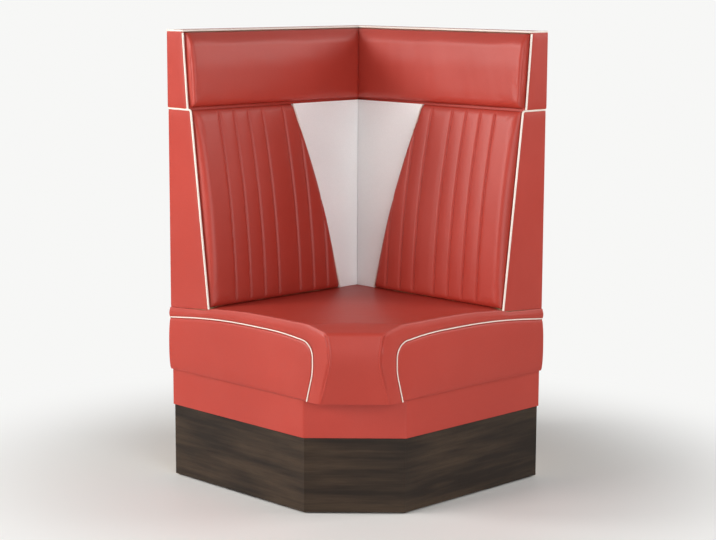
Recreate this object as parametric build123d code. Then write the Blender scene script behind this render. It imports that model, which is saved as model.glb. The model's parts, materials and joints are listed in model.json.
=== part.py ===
from build123d import *
import math
import os

# A corner unit of booth seating. Lengths are in millimetres. The model is drawn in the room's corner:
# the right wing stands along +X against the wall at Y = 0, the left wing along -Y against the wall at
# X = 0, and the left wing is the mirror image of the right one about the corner's diagonal. At the end
# everything is moved so that the origin lies under the middle of the unit, on the floor.

# Plinth and rail
plinth_reach = 700
end_depth_share = 0.74
plinth_top = 200
rail_height = 100
rail_reveal = 4
board = 18
glide_height = 4
glide_radius = 15
glide_edge = 1.2
glide_stem_radius = 2.5
glide_stem_length = 16
block_leg = 75
rail_edge_radius = 4
bearer = 25
deck = 15
fit_gap = 0.5

# Covers, piping and soft clearances
skin = 1.5
soft_gap = 0.3
bead_radius = 2.75
inlay_bead_radius = 3.5

# Seat cushion: rises are above the rail, falls below the crest
seat_overhang = 14
wall_ledge_rise = 170
ledge_slope = 9
heel_step = 8
crest_step = 15
ledge_depth = 141
heel_depth = 176
crest_depth_share = 0.728
nose_flat_rise = 0.5
nose_overhang = 86.5
nose_shoulder_depth = 73
nose_shoulder_sweep = 300
nose_roll_depth = 10.9
nose_roll_fall = 19
nose_roll_radius = 30
nose_belly_fall = 87
nose_belly_radius = 230
nose_undercut = 27
seam_radius = 4
seat_lip = 35
seat_board = 12
ledger_depth = 95

# Seat end facings: falls below the crest, and depths of the piping's corners
facing_start_fall = 59
facing_crown_fall = 37
facing_shoulder_fall = 50.5
facing_turn_fall = 124
facing_crown_share = 0.388
facing_slope_share = 0.8687
facing_front_overhang = 47
facing_foot_overhang = 23
facing_crown_radius = 3200
facing_slope_radius = 1000
facing_shoulder_radius = 60
facing_turn_radius = 120
facing_recess = 0.4

# Lower back
back_overhang = 9.5
back_height = 521
foot_depth = 156
top_depth = 90
back_panel = 12
rear_panel = 3
pad_base = 8
pad_clearance = 0.9
pad_to_bead = 0.1
edge_drop = 2.25
bead_stand = 1
slant_gap = 1
rib = 18
rib_count = 4
post = 40
seam_bend = 8

# Fluted pads
pad_end_inset = 7.5
pad_proud = 26
pad_crown = 15
flute_rise = 4
flute_web = 2
outer_fall_share = 0.25
pad_end_roll = 20
pad_top_roll = 18
pad_foot_roll = 14
pad_side_roll = 18
flute_shares = (0.1154, 0.0726, 0.0726, 0.0726, 0.1083, 0.0726, 0.0726, 0.0726, 0.0726)
slant_foot_share = 0.35
slant_top_share = 0.523
slant_bow = 14
pad_wall = 2

# Head
head_overhang = 12
head_height = 208
head_foot_depth = 81
head_top_depth = 63
head_board = 15
roll_proud = 26.5
roll_foot_proud = 24
roll_end_inset = 8
roll_top_fall = 6.5
roll_shoulder_fall = 33
roll_foot_rise = 5
roll_crown_radius = 92
roll_foot_radius = 20
roll_top_radius = 3
roll_top_back = 1
roll_end_radius = 7
window_gap = 0.5

# Bolts that tie each wing down onto the deck
bolt_radius = 4
bolt_clearance = 0.3
bolt_head_radius = 9
bolt_head_height = 5
bolt_nut_height = 7
bolt_line_depth = 55
bolt_reach_shares = (0.3, 0.84)

# One overrun for every cut, and the shortest run that is drawn
overrun = 20
shortest_run = 0.0005

root_two = math.sqrt(2)
end_depth = end_depth_share * plinth_reach
rail_top = plinth_top + rail_height
wall_ledge_height = rail_top + wall_ledge_rise
ledge_front_height = wall_ledge_height + ledge_slope
heel_height = ledge_front_height + heel_step
crest_height = heel_height + crest_step
seat_reach = plinth_reach + seat_overhang
back_reach = plinth_reach + back_overhang
head_reach = plinth_reach + head_overhang
crest_depth = crest_depth_share * seat_reach
nose_roll_height = crest_height - nose_roll_fall
nose_belly_height = crest_height - nose_belly_fall
slant_foot_reach = slant_foot_share * plinth_reach
slant_top_reach = slant_top_share * plinth_reach
foot_height = heel_height
seam_height = foot_height + back_height
head_top = seam_height + head_height
roll_foot_height = seam_height + roll_foot_rise
roll_shoulder_height = head_top - roll_shoulder_fall
roll_top_height = head_top - roll_top_fall
half_span = (seat_reach + 2 * bead_radius - skin) / 2
facet_reach = (plinth_reach + end_depth) / root_two
nose_reach = facet_reach + nose_overhang
inner_skin = skin + soft_gap
back_lean = math.atan((foot_depth - top_depth) / (seam_height - foot_height))
head_lean = math.atan((head_foot_depth - head_top_depth) / (head_top - seam_height))
back_slope_length = (seam_height - foot_height) / math.cos(back_lean)
room_diagonal = Plane(origin=(0, 0, 0), z_dir=(1, 1, 0))


def rounded(corners, radii, closed=False):
    """Runs between corners, with each corner turned by a tangent arc that its runs have room for."""
    count = len(corners)
    first, last = (0, count) if closed else (1, count - 1)
    bends = {}
    turned = {index: radii[index - first] > 0 for index in range(first, last)}
    for index in range(first, last):
        before = Vector(*corners[index - 1])
        corner = Vector(*corners[index])
        after = Vector(*corners[(index + 1) % count])
        radius = radii[index - first]
        if radius == 0:
            bends[index] = (corner, None, corner)
            continue
        arm_in = (before - corner).normalized()
        arm_out = (after - corner).normalized()
        half = math.acos(max(-1, min(1, arm_in.dot(arm_out)))) / 2
        room_in = (before - corner).length / (1 + turned.get((index - 1) % count, False))
        room_out = (after - corner).length / (1 + turned.get((index + 1) % count, False))
        room = min(room_in, room_out)
        tangent = min(radius / math.tan(half), room)
        bisector = (arm_in + arm_out).normalized()
        sagitta = tangent / math.cos(half) - tangent * math.tan(half)
        bends[index] = (corner + arm_in * tangent, corner + bisector * sagitta, corner + arm_out * tangent)
    if not closed:
        bends[0] = (Vector(*corners[0]), None, Vector(*corners[0]))
        bends[count - 1] = (Vector(*corners[-1]), None, Vector(*corners[-1]))
    edges = []
    for index in range(count):
        start, middle, end = bends[index]
        if middle is not None:
            edges.append(ThreePointArc(start, middle, end))
        if closed or index < count - 1:
            following = bends[(index + 1) % count][0]
            if (following - end).length > shortest_run:
                edges.append(Line(end, following))
    return edges


def outline(corners, radii=None):
    """A closed face through corners, sharp or rounded."""
    if radii is None:
        radii = [0] * len(corners)
    return make_face(rounded(corners, radii, closed=True))


def upright(corners, low, high):
    """A prism over a plan outline."""
    return extrude(Plane.XY.offset(low) * outline(corners), amount=high - low)


def wing_prism(face, start, stop):
    """A prism along the right wing over a face drawn as (distance from the wall, height)."""
    section = Plane(origin=(stop, 0, 0), x_dir=(0, -1, 0), z_dir=(-1, 0, 0))
    return extrude(section * face, amount=stop - start)


def other_wing_prism(face, start, stop):
    """The same prism along the left wing."""
    return mirror(wing_prism(face, start, stop), about=room_diagonal)


def nose_prism(face):
    """A prism along the front facet over a face drawn as (distance from the corner, height)."""
    side = seat_reach / 2 + overrun
    section = Plane(origin=(side, side, 0), x_dir=(1, -1, 0), z_dir=(-1, -1, 0))
    return extrude(section * face, amount=2 * side * root_two)


def mitred(piece):
    """The part of a right wing's piece on its own side of the corner's diagonal."""
    reach = seat_reach + overrun
    side = upright([(0, 0), (reach, 0), (reach, -reach)], -overrun, head_top + overrun)
    return piece & side


def left_of(piece):
    """The left wing's twin of a right wing's piece."""
    return mirror(piece, about=room_diagonal)


def solids_of(*pieces):
    """One group of separate solids."""
    found = []
    for piece in pieces:
        found.extend(piece.solids())
    return found[0] if len(found) == 1 else Compound(children=found)


# Plan outlines


def plan_outline(grow):
    """The plinth's plan, with its three open sides moved outwards."""
    reach = plinth_reach + grow
    depth = end_depth + grow * (root_two - 1)
    return [(0, 0), (reach, 0), (reach, -depth), (depth, -reach), (0, -reach)]


def inset_outline(corners, distance):
    """A convex outline, listed clockwise, with every side moved inwards."""
    count = len(corners)
    moved = []
    for index in range(count):
        before = Vector(*corners[index - 1])
        corner = Vector(*corners[index])
        after = Vector(*corners[(index + 1) % count])
        arriving = (corner - before).normalized()
        leaving = (after - corner).normalized()
        inward = Vector(arriving.Y, -arriving.X) + Vector(leaving.Y, -leaving.X)
        reach = distance / ((1 + arriving.dot(leaving)) / 2)
        point = corner + inward * (reach / 2)
        moved.append((point.X, point.Y))
    return moved


def ring_boards(corners, thickness, low, high):
    """Mitred boards that stand round a plan outline, one for each side."""
    inner = inset_outline(corners, thickness)
    count = len(corners)
    boards = []
    for index in range(count):
        following = (index + 1) % count
        plan = [corners[index], corners[following], inner[following], inner[index]]
        boards.append(upright(plan, low, high))
    return boards


def battens(corners, size, low, high):
    """Square-cut battens inside a plan outline, held back from each other at the corners."""
    count = len(corners)
    pieces = []
    for index in range(count):
        start = Vector(*corners[index])
        stop = Vector(*corners[(index + 1) % count])
        along = (stop - start).normalized()
        inward = Vector(along.Y, -along.X) * size
        near = start + along * (size + fit_gap)
        far = stop - along * (size + fit_gap)
        plan = [(point.X, point.Y) for point in (near, far, far + inward, near + inward)]
        pieces.append(upright(plan, low, high))
    return pieces


RING_NAMES = ("back_right", "end_right", "front", "end_left", "back_left")


# Base


def block_plans():
    """Triangles glued into the plinth's inner corners."""
    inner = inset_outline(plan_outline(0), board)
    count = len(inner)
    plans = []
    for index in range(count):
        corner = Vector(*inner[index])
        before = (Vector(*inner[index - 1]) - corner).normalized() * block_leg
        after = (Vector(*inner[(index + 1) % count]) - corner).normalized() * block_leg
        plans.append([(point.X, point.Y) for point in (corner, corner + after, corner + before)])
    return plans


def middle_of(plan):
    """The centroid of a triangle."""
    across = sum(point[0] for point in plan) / len(plan)
    along = sum(point[1] for point in plan) / len(plan)
    return across, along


def floor_glides():
    """Nail-in nylon glides, one under each corner block."""
    section = outline(
        [
            (0, 0),
            (glide_radius - glide_edge, 0),
            (glide_radius, glide_edge),
            (glide_radius, glide_height),
            (glide_stem_radius, glide_height),
            (glide_stem_radius, glide_height + glide_stem_length),
            (0, glide_height + glide_stem_length),
        ]
    )
    glide = revolve(Plane.XZ * section, axis=Axis.Z)
    return [Pos(*middle_of(plan), 0) * glide for plan in block_plans()]


def corner_blocks(glides):
    """Blocks that tie plinth, rail and glides together and carry the bearers."""
    top = rail_top - deck - bearer
    return [upright(plan, glide_height, top) - glide for plan, glide in zip(block_plans(), glides)]


def rail_cover():
    """Vinyl stretched round the rail's three open sides."""
    edges = [0, 0, rail_edge_radius, rail_edge_radius, 0]
    outside = outline(plan_outline(rail_reveal), edges)
    inside = outline(plan_outline(rail_reveal - skin))
    ring = outside - inside
    return extrude(Plane.XY.offset(plinth_top) * ring, amount=rail_top - plinth_top)


def make_base():
    """Plinth, rail, bearers and deck."""
    pieces = {}
    plinth = ring_boards(plan_outline(0), board, glide_height, plinth_top)
    rail_plan = plan_outline(rail_reveal - skin)
    rail = ring_boards(rail_plan, board, plinth_top, rail_top)
    for name, plinth_board, rail_board in zip(RING_NAMES, plinth, rail):
        pieces["plinth_" + name] = plinth_board
        pieces["rail_" + name] = rail_board
    glides = floor_glides()
    pieces["floor_glides"] = solids_of(*glides)
    pieces["corner_blocks"] = solids_of(*corner_blocks(glides))
    pieces["rail_cover"] = rail_cover()
    inner_plan = inset_outline(rail_plan, board)
    bearer_top = rail_top - deck
    pieces["deck_bearers"] = solids_of(*battens(inner_plan, bearer, bearer_top - bearer, bearer_top))
    pieces["seat_deck"] = upright(inset_outline(inner_plan, fit_gap), bearer_top, rail_top)
    return pieces


# Seat


def seat_depth_face(inset):
    """The cushion's section from the wall to the front, with its top drawn down by a distance."""
    far = seat_reach + overrun
    rise = crest_height - heel_height
    sweep = ((crest_depth - heel_depth) ** 2 + rise**2) / (2 * rise)
    far_fall = sweep - math.sqrt(sweep**2 - (far - crest_depth) ** 2)
    heel = (heel_depth, heel_height - inset)
    crest = (crest_depth, crest_height - inset)
    end = (far, crest_height - far_fall - inset)
    return make_face(
        [
            Line((0, rail_top), (0, wall_ledge_height - inset)),
            Line((0, wall_ledge_height - inset), (ledge_depth, ledge_front_height - inset)),
            Line((ledge_depth, ledge_front_height - inset), heel),
            ThreePointArc(heel, crest, end),
            Line(end, (far, rail_top)),
            Line((far, rail_top), (0, rail_top)),
        ]
    )


def seat_nose_face(inset):
    """The cushion's section square to the front facet, drawn in by a distance."""
    top = crest_height + nose_flat_rise
    corners = [
        (-overrun, rail_top - overrun),
        (-overrun, top),
        (nose_reach - nose_shoulder_depth, top),
        (nose_reach - nose_roll_depth, nose_roll_height),
        (nose_reach, nose_belly_height),
        (nose_reach - nose_undercut, rail_top),
        (nose_reach - nose_undercut, rail_top - overrun),
    ]
    radii = [0, 0, nose_shoulder_sweep, nose_roll_radius, nose_belly_radius, 0, 0]
    return outline(inset_outline(corners, inset), [max(radius - inset, 0) for radius in radii])


def seat_form(inset):
    """The cushion's whole form, or the form a distance inside or outside its surface."""
    reach = seat_reach - inset
    depth_face = seat_depth_face(inset)
    form = wing_prism(depth_face, inset, reach)
    form = form & other_wing_prism(depth_face, inset, reach)
    form = form & nose_prism(seat_nose_face(inset))
    far = reach + overrun
    plan = [(-overrun, overrun), (far, overrun), (far, -far), (-overrun, -far)]
    return form & upright(plan, rail_top + inset, crest_height + overrun)


def facing_corners():
    """Corners of an end piping's path, drawn as (distance from the wall, height)."""
    crown = crest_height - facing_crown_fall
    front = end_depth + facing_front_overhang
    return [
        (0, crest_height - facing_start_fall),
        (facing_crown_share * end_depth, crown),
        (facing_slope_share * end_depth, crown),
        (front, crest_height - facing_shoulder_fall),
        (front, crest_height - facing_turn_fall),
        (end_depth + facing_foot_overhang, rail_top),
    ]


def facing_path():
    """The path of the piping on an end of the seat."""
    radii = [facing_crown_radius, facing_slope_radius, facing_shoulder_radius, facing_turn_radius]
    return rounded(facing_corners(), radii)


def facing_face():
    """The end facing's outline, inside the piping."""
    start, foot = facing_corners()[0], facing_corners()[-1]
    closing = [Line(foot, (0, rail_top)), Line((0, rail_top), start)]
    return make_face(facing_path() + closing)


def bead_along(path_edges, plane, radius):
    """A round bead that follows a path drawn on a plane."""
    path = plane * Wire(path_edges)
    start = path @ 0
    section = Plane(origin=start, z_dir=path % 0) * Circle(radius)
    return sweep(section, path=path, transition=Transition.RIGHT)


def end_plane(reach):
    """The plane of a right end, drawn as (distance from the wall, height)."""
    return Plane(origin=(reach, 0, 0), x_dir=(0, -1, 0), z_dir=(-1, 0, 0))


def seat_cover_solid():
    """The cushion's cover: a skin with rolled seams, open under the seat board."""
    outer = seat_form(0)
    wanted = []
    for end_face in (outer.faces().sort_by(Axis.X)[-1], outer.faces().sort_by(Axis.Y)[0]):
        for edge in end_face.edges():
            middle = edge @ 0.5
            rises = middle.Z > rail_top + fit_gap
            stands_off_wall = max(-middle.Y, middle.X) > overrun and min(-middle.Y, middle.X) > overrun
            if rises and stands_off_wall:
                wanted.append(edge)
    outer = fillet(wanted, radius=seam_radius)
    lip = [(max(x, seat_lip), min(y, -seat_lip)) for x, y in plan_outline(-seat_lip)]
    opening = upright(lip, rail_top - overrun, rail_top + overrun)
    return outer - seat_form(skin) - opening


def make_seat():
    """Cushion: cover, facings, piping, foam, board and ledgers."""
    pieces = {}
    cover = seat_cover_solid()
    bead_reach = seat_reach + bead_radius - skin
    bead = bead_along(facing_path(), end_plane(bead_reach), bead_radius)
    side_room = wing_prism(facing_face(), seat_reach - skin - soft_gap / 2, seat_reach - facing_recess)
    window = wing_prism(facing_face(), seat_reach - skin - soft_gap, seat_reach + overrun)
    facing = (side_room & seat_form(0)) - bead
    far = seat_reach + overrun
    below = upright([(0, 0), (far, 0), (far, -seat_reach), (0, -seat_reach)], rail_top, crest_height)
    bead = bead & below
    facing = facing & below
    cover = cover - window - left_of(window) - bead - left_of(bead)
    pieces["seat_cover"] = solids_of(cover)
    pieces["seat_facing_right"] = facing
    pieces["seat_facing_left"] = left_of(facing)
    pieces["seat_piping_right"] = bead
    pieces["seat_piping_left"] = left_of(bead)

    core = seat_form(inner_skin)
    board_top = rail_top + inner_skin + seat_board
    slab = upright([(0, 0), (far, 0), (far, -far), (0, -far)], rail_top, board_top)
    upper = core - slab
    zone = [(0, 0), (far, 0), (far, -ledger_depth), (0, -ledger_depth)]
    right_zone = upright(zone, board_top, crest_height)
    left_zone = left_of(right_zone)
    pieces["seat_board"] = core & slab
    left_ledger = (upper & left_zone) - Pos(0, -fit_gap, 0) * right_zone - right_zone
    pieces["seat_ledgers"] = solids_of(upper & right_zone, left_ledger)
    pieces["seat_foam"] = upper - right_zone - left_zone
    return pieces


# Backs


def front_depth(height, proud=0):
    """Distance from the wall to the back's sloping front, or to a plane proud of it."""
    return foot_depth - (height - foot_height) * math.tan(back_lean) + proud / math.cos(back_lean)


def head_depth(height, proud=0):
    """Distance from the wall to the head's front plane, or to a plane proud of it."""
    fall = (height - seam_height) * math.tan(head_lean)
    return head_foot_depth - fall + proud / math.cos(head_lean)


# The back's front plane: x runs along the wing, y up the slope and z proud of it
slope = Plane(
    origin=(0, -foot_depth, foot_height),
    x_dir=(1, 0, 0),
    z_dir=(0, -math.cos(back_lean), math.sin(back_lean)),
)


def layer(depth, low, high, back_proud, front_proud):
    """A section between two planes parallel to a front."""
    return outline(
        [
            (depth(low, back_proud), low),
            (depth(high, back_proud), high),
            (depth(high, front_proud), high),
            (depth(low, front_proud), low),
        ]
    )


def from_wall(depth, low, high, start, front_proud):
    """A section from an upright plane near the wall to a plane parallel to a front."""
    return outline(
        [
            (start, low),
            (start, high),
            (depth(high, front_proud), high),
            (depth(low, front_proud), low),
        ]
    )


def slant_arc():
    """Centre and radius of the slanting edge between pad and inlay, on the back's front plane."""
    foot = Vector(slant_foot_reach, 0)
    top = Vector(slant_top_reach, back_slope_length)
    chord = top - foot
    radius = (chord.length**2 / 4 + slant_bow**2) / (2 * slant_bow)
    across = Vector(chord.Y, -chord.X).normalized()
    centre = (foot + top) / 2 + across * (radius - slant_bow)
    return centre, radius


def slant_disc(radius, low, high):
    """A disc about the slanting edge's centre, standing on the back's front plane."""
    centre, _ = slant_arc()
    return extrude(Pos(centre.X, centre.Y, low) * Circle(radius), amount=high - low)


def slant_bead(thickness):
    """Piping along the slanting edge, or the room for it."""
    centre, radius = slant_arc()
    ring = Pos(centre.X, centre.Y, inlay_bead_radius / 2) * Solid.make_torus(radius, thickness)
    room = layer(front_depth, foot_height - overrun, seam_height, -pad_base, pad_proud)
    return (slope.location * ring) & wing_prism(room, 0, back_reach)


def pad_reach():
    """Where the pad's outer end stands."""
    return back_reach - pad_end_inset


def flute_lines():
    """Places of the grooves along the wing, from the outer end inwards."""
    lines = []
    place = pad_reach()
    for share in flute_shares:
        place -= share * pad_reach()
        lines.append(place)
    return lines


def flute_face(wall, drop, fluted):
    """The pad's plan section at mid height, drawn as (along the wing, proud of the front)."""
    end = pad_reach() - wall
    base = -pad_base - pad_crown - overrun
    crest = pad_proud - drop
    lines = flute_lines()
    last = lines[-1]
    groove = crest - flute_rise
    roll = pad_end_roll - wall
    turn = roll / root_two
    outer_fall = outer_fall_share * flute_rise
    edges = [
        Line((last, base), (end, base)),
        Line((end, base), (end, crest - roll)),
        ThreePointArc((end, crest - roll), (end - roll + turn, crest - roll + turn), (end - roll, crest)),
    ]
    if not fluted:
        edges.append(Line((end - roll, crest), (last, crest)))
        edges.append(Line((last, crest), (last, base)))
        return make_face(edges)
    middle = (end - roll + lines[0]) / 2
    edges.append(ThreePointArc((end - roll, crest), (middle, crest - outer_fall), (lines[0], groove)))
    for start, stop in zip(lines, lines[1:]):
        edges.append(ThreePointArc((start, groove), ((start + stop) / 2, crest), (stop, groove)))
    edges.append(Line((last, groove), (last, base)))
    return make_face(edges)


def pad_side_face(wall, drop):
    """The pad's section from foot to top, with rolled ends, drawn as (up the slope, proud)."""
    half = back_slope_length / 2
    low = pad_clearance + wall
    high = back_slope_length - low
    crown = pad_proud - drop + soft_gap
    end_crown = crown - pad_crown
    base = -pad_base - overrun if wall > 0 else -pad_base
    side = make_face(
        [
            Line((low, base), (low, end_crown)),
            ThreePointArc((low, end_crown), (half, crown), (high, end_crown)),
            Line((high, end_crown), (high, base)),
            Line((high, base), (low, base)),
        ]
    )
    foot = side.vertices().sort_by(Axis.X)[:2].sort_by(Axis.Y)[-1]
    side = fillet(foot, pad_foot_roll - wall)
    top = side.vertices().sort_by(Axis.X)[-2:].sort_by(Axis.Y)[-1]
    return fillet(top, pad_top_roll - wall)


def pad_form(wall, drop, fluted):
    """A pad on the back's front plane: fluted or plain, crowned from foot to top, with rolled edges."""
    half = back_slope_length / 2
    sweep_radius = (half**2 + pad_crown**2) / (2 * pad_crown)
    axis = Axis((0, half, pad_proud - drop - sweep_radius), (1, 0, 0))
    spread = math.degrees(math.asin((half + overrun) / sweep_radius))
    section = Plane(origin=(0, half, 0), x_dir=(1, 0, 0), z_dir=(0, -1, 0)) * flute_face(wall, drop, fluted)
    front = revolve(section.rotate(axis, spread), axis=axis, revolution_arc=-2 * spread)
    along = Plane(origin=(0, 0, 0), x_dir=(0, 1, 0), z_dir=(1, 0, 0))
    side = extrude(along * pad_side_face(wall, drop), amount=pad_reach() + overrun)
    _, radius = slant_arc()
    edge = radius - inlay_bead_radius + pad_wall / 2
    disc = slant_disc(edge - wall, -pad_base - overrun, pad_proud - drop + soft_gap)
    disc = fillet(disc.edges().sort_by(Axis.Z)[-1], pad_side_roll - wall)
    return slope.location * (front & side & disc)


def case_cover(depth, reach, low, high, window_reach, window_high):
    """A wing's cover: end skin and, with it, the padded edge that carries the front piping."""
    closed_top = window_high < high
    outside = wing_prism(from_wall(depth, low, high, 0, -edge_drop), 0, reach)
    inner_high = high - skin if closed_top else high + overrun
    inside = wing_prism(
        from_wall(depth, low - overrun, inner_high, -overrun, -pad_base), -overrun, reach - skin
    )
    window = upright(
        [(-overrun, overrun), (window_reach, overrun), (window_reach, -reach), (-overrun, -reach)],
        low - overrun,
        window_high,
    )
    front_room = wing_prism(layer(depth, low - overrun, high + overrun, -pad_base, overrun), -overrun, reach)
    return outside - inside - (window & front_room)


def bead_on_end(corners, radii, reach):
    """Piping that follows a path on a right end."""
    return bead_along(rounded(corners, radii), end_plane(reach), bead_radius)


def back_bead():
    """Piping that runs from the wall along the seam on the end and turns down the front edge."""
    stand = bead_radius - edge_drop
    low = foot_height - overrun
    path = [
        (0, seam_height),
        (front_depth(seam_height, stand), seam_height),
        (front_depth(low, stand), low),
    ]
    return bead_on_end(path, [seam_bend], back_reach - bead_stand)


def make_back(seat_room):
    """A right wing's lower back."""
    pieces = {}
    low = foot_height - overrun
    high = seam_height
    cheek_reach = back_reach - skin
    cheek_start = cheek_reach - board
    bead = back_bead()
    slant = slant_bead(inlay_bead_radius)

    cheek_face = from_wall(front_depth, low, high, rear_panel, -pad_base - back_panel)
    cheek = wing_prism(cheek_face, cheek_start, cheek_reach) - bead
    panel_face = layer(front_depth, low, high, -pad_base - back_panel, -pad_base)
    panel = mitred(wing_prism(panel_face, 0, cheek_reach)) - bead
    rear_low, rear_high = low - overrun, head_top - skin
    rear_face = outline([(0, rear_low), (0, rear_high), (rear_panel, rear_high), (rear_panel, rear_low)])
    rear = mitred(wing_prism(rear_face, 0, cheek_reach)) - bead
    inlay_face = layer(front_depth, low, high, -pad_base, 0)
    inlay = mitred(wing_prism(inlay_face, 0, slant_top_reach + overrun))
    _, radius = slant_arc()
    inlay = inlay - slope.location * slant_disc(radius + slant_gap, -pad_base - overrun, overrun) - slant
    window = pad_reach() + window_gap
    cover = case_cover(front_depth, back_reach, low, high - bead_radius, window, high) - bead

    outer = pad_form(0, 0, True) - slant_bead(inlay_bead_radius + pad_to_bead)
    inner_drop = flute_rise + flute_web
    hollow = pad_form(pad_wall, inner_drop, False)
    foam = pad_form(pad_wall + soft_gap, inner_drop + soft_gap, False)
    foam_room = layer(front_depth, low, high, -pad_base, pad_proud)
    foam = foam & wing_prism(foam_room, 0, back_reach)

    ribs = []
    bottom_height = rib + ledge_slope
    for index in range(rib_count):
        under = wall_ledge_height + index * (high - rib - wall_ledge_height) / (rib_count - 1)
        thick = bottom_height if index == 0 else rib
        face = from_wall(front_depth, under, under + thick, rear_panel, -pad_base - back_panel)
        ribs.append(mitred(wing_prism(face, rear_panel + post, cheek_start)))

    pieces["back_cheek"] = cheek - seat_room
    pieces["back_panel"] = panel - seat_room
    pieces["rear_panel"] = rear - seat_room
    pieces["inlay_panel"] = inlay - seat_room
    pieces["back_cover"] = cover - seat_room
    pieces["back_piping"] = bead - seat_room
    pieces["inlay_piping"] = slant - seat_room
    pieces["pad_cover"] = outer - hollow - seat_room
    pieces["pad_foam"] = foam
    pieces["back_ribs"] = solids_of(ribs[0] - seat_room, *ribs[1:])
    return pieces


# Head


def roll_form(inset, open_back=False):
    """A head roll, or the form a distance inside it."""
    def place(proud, height):
        return (head_depth(height, proud), height)

    back = -pad_base - (overrun if open_back else 0)
    corners = [
        place(back, roll_foot_height),
        place(back, roll_top_height),
        place(-roll_top_back, roll_top_height),
        place(roll_proud, roll_shoulder_height),
        place(roll_foot_proud, roll_foot_height),
    ]
    drawn = inset_outline(corners, inset)
    if not open_back:
        drawn[0] = (head_depth(drawn[0][1], back), drawn[0][1])
        drawn[1] = (head_depth(drawn[1][1], back), drawn[1][1])
    radii = [0, 0, roll_top_radius, roll_crown_radius, roll_foot_radius]
    face = outline(drawn, [max(radius - inset, 0) for radius in radii])
    reach = head_reach - roll_end_inset - inset
    form = wing_prism(face, 0, reach)
    rim = []
    for edge in form.faces().sort_by(Axis.X)[-1].edges():
        middle = edge @ 0.5
        if -middle.Y > head_depth(middle.Z, back) + fit_gap:
            rim.append(edge)
    return mitred(fillet(rim, roll_end_radius - inset))


def make_head():
    """A right wing's head."""
    pieces = {}
    low = seam_height
    board_top = head_top - skin
    board_low = board_top - head_board
    cheek_reach = head_reach - skin
    bead_height = head_top + bead_stand - bead_radius
    stand = bead_radius - edge_drop
    seam_bead = back_bead()

    top_depth_there = head_depth(bead_height, stand)
    end_there = head_reach - bead_stand
    corners = [(-overrun, -top_depth_there), (end_there, -top_depth_there), (end_there, 0)]
    top_path = rounded(corners, [seam_bend])
    top_bead = mitred(bead_along(top_path, Plane.XY.offset(bead_height), bead_radius))
    foot = low + bead_radius
    top = bead_height - 2 * bead_radius
    front_path = [(head_depth(foot, stand), foot), (head_depth(top, stand), top)]
    front_bead = bead_on_end(front_path, [], end_there)
    beads = top_bead + front_bead + seam_bead

    cheek_face = from_wall(head_depth, low, board_low, rear_panel, -pad_base - back_panel)
    panel_face = layer(head_depth, low, board_low, -pad_base - back_panel, -pad_base)
    top_face = from_wall(head_depth, board_low, board_top, rear_panel, -pad_base)
    cover = case_cover(head_depth, head_reach, low + bead_radius, head_top,
                       head_reach - roll_end_inset + window_gap, roll_top_height + window_gap)
    pieces["head_cheek"] = wing_prism(cheek_face, cheek_reach - board, cheek_reach) - beads
    pieces["head_panel"] = mitred(wing_prism(panel_face, 0, cheek_reach)) - beads
    pieces["head_top"] = mitred(wing_prism(top_face, 0, cheek_reach)) - beads
    pieces["head_cover"] = mitred(cover) - beads
    pieces["head_piping"] = solids_of(top_bead, front_bead)
    pieces["head_roll_cover"] = roll_form(0) - roll_form(skin, open_back=True)
    pieces["head_foam"] = roll_form(inner_skin)
    return pieces


def corner_post(seat_room):
    """The post that both wings stand against in the corner."""
    far = rear_panel + post
    plan = [(rear_panel, -rear_panel), (far, -rear_panel), (far, -far), (rear_panel, -far)]
    top = head_top - skin - head_board
    return upright(plan, foot_height - overrun - overrun, top) - seat_room


# Bolts


def bolt_places():
    """Where the bolts stand on the right wing."""
    return [share * seat_reach for share in bolt_reach_shares]


def bolts_and_holes():
    """Bolts with nuts for both wings, and the holes that they pass through."""
    rib_top = ledge_front_height + rib
    deck_under = rail_top - deck
    nut_low = deck_under - bolt_nut_height
    bolts = []
    holes = []
    for place in bolt_places():
        at = Pos(place, -bolt_line_depth, 0)
        middle = (Align.CENTER, Align.CENTER, Align.MIN)
        shank = Pos(0, 0, nut_low) * Cylinder(bolt_radius, rib_top - nut_low, align=middle)
        head = Pos(0, 0, rib_top) * Cylinder(bolt_head_radius, bolt_head_height, align=middle)
        nut = Cylinder(bolt_head_radius, bolt_nut_height, align=middle)
        nut = nut - Cylinder(bolt_radius + bolt_clearance, bolt_nut_height, align=middle)
        nut = Pos(0, 0, nut_low) * nut
        hole = Cylinder(bolt_radius + bolt_clearance, head_top, align=middle)
        bolts.extend([at * (shank + head), at * nut])
        holes.append(at * hole)
    bolts.extend([left_of(piece) for piece in bolts])
    holes.extend([left_of(piece) for piece in holes])
    return bolts, holes


def make_wings():
    """Both wings with their shared post."""
    seat_room = seat_form(-soft_gap)
    right = make_back(seat_room)
    right.update(make_head())
    pieces = {"corner_post": corner_post(seat_room)}
    for name, piece in right.items():
        pieces[name + "_right"] = piece
        pieces[name + "_left"] = left_of(piece)
    return pieces


def make_everything():
    """All pieces by name."""
    pieces = make_base()
    pieces.update(make_seat())
    pieces.update(make_wings())
    bolts, holes = bolts_and_holes()
    bored = ("back_ribs_right", "back_ribs_left", "seat_cover", "seat_ledgers", "seat_board", "seat_deck")
    for name in bored:
        piece = pieces[name]
        for hole in holes:
            piece = piece - hole
        pieces[name] = solids_of(piece)
    pieces["back_bolts"] = solids_of(*bolts)
    return pieces


def write_parts(pieces):
    """Write each piece, moved to the unit's own origin."""
    os.makedirs("parts", exist_ok=True)
    for name, piece in pieces.items():
        export_step(Pos(-half_span, half_span, 0) * solids_of(piece), "parts/" + name + ".step")


if __name__ == "__main__":
    write_parts(make_everything())
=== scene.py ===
import json
import logging
import math
from dataclasses import dataclass
from enum import Enum

import bmesh
import bpy
import numpy as np
from mathutils import Matrix, Vector
from mathutils.kdtree import KDTree


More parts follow.
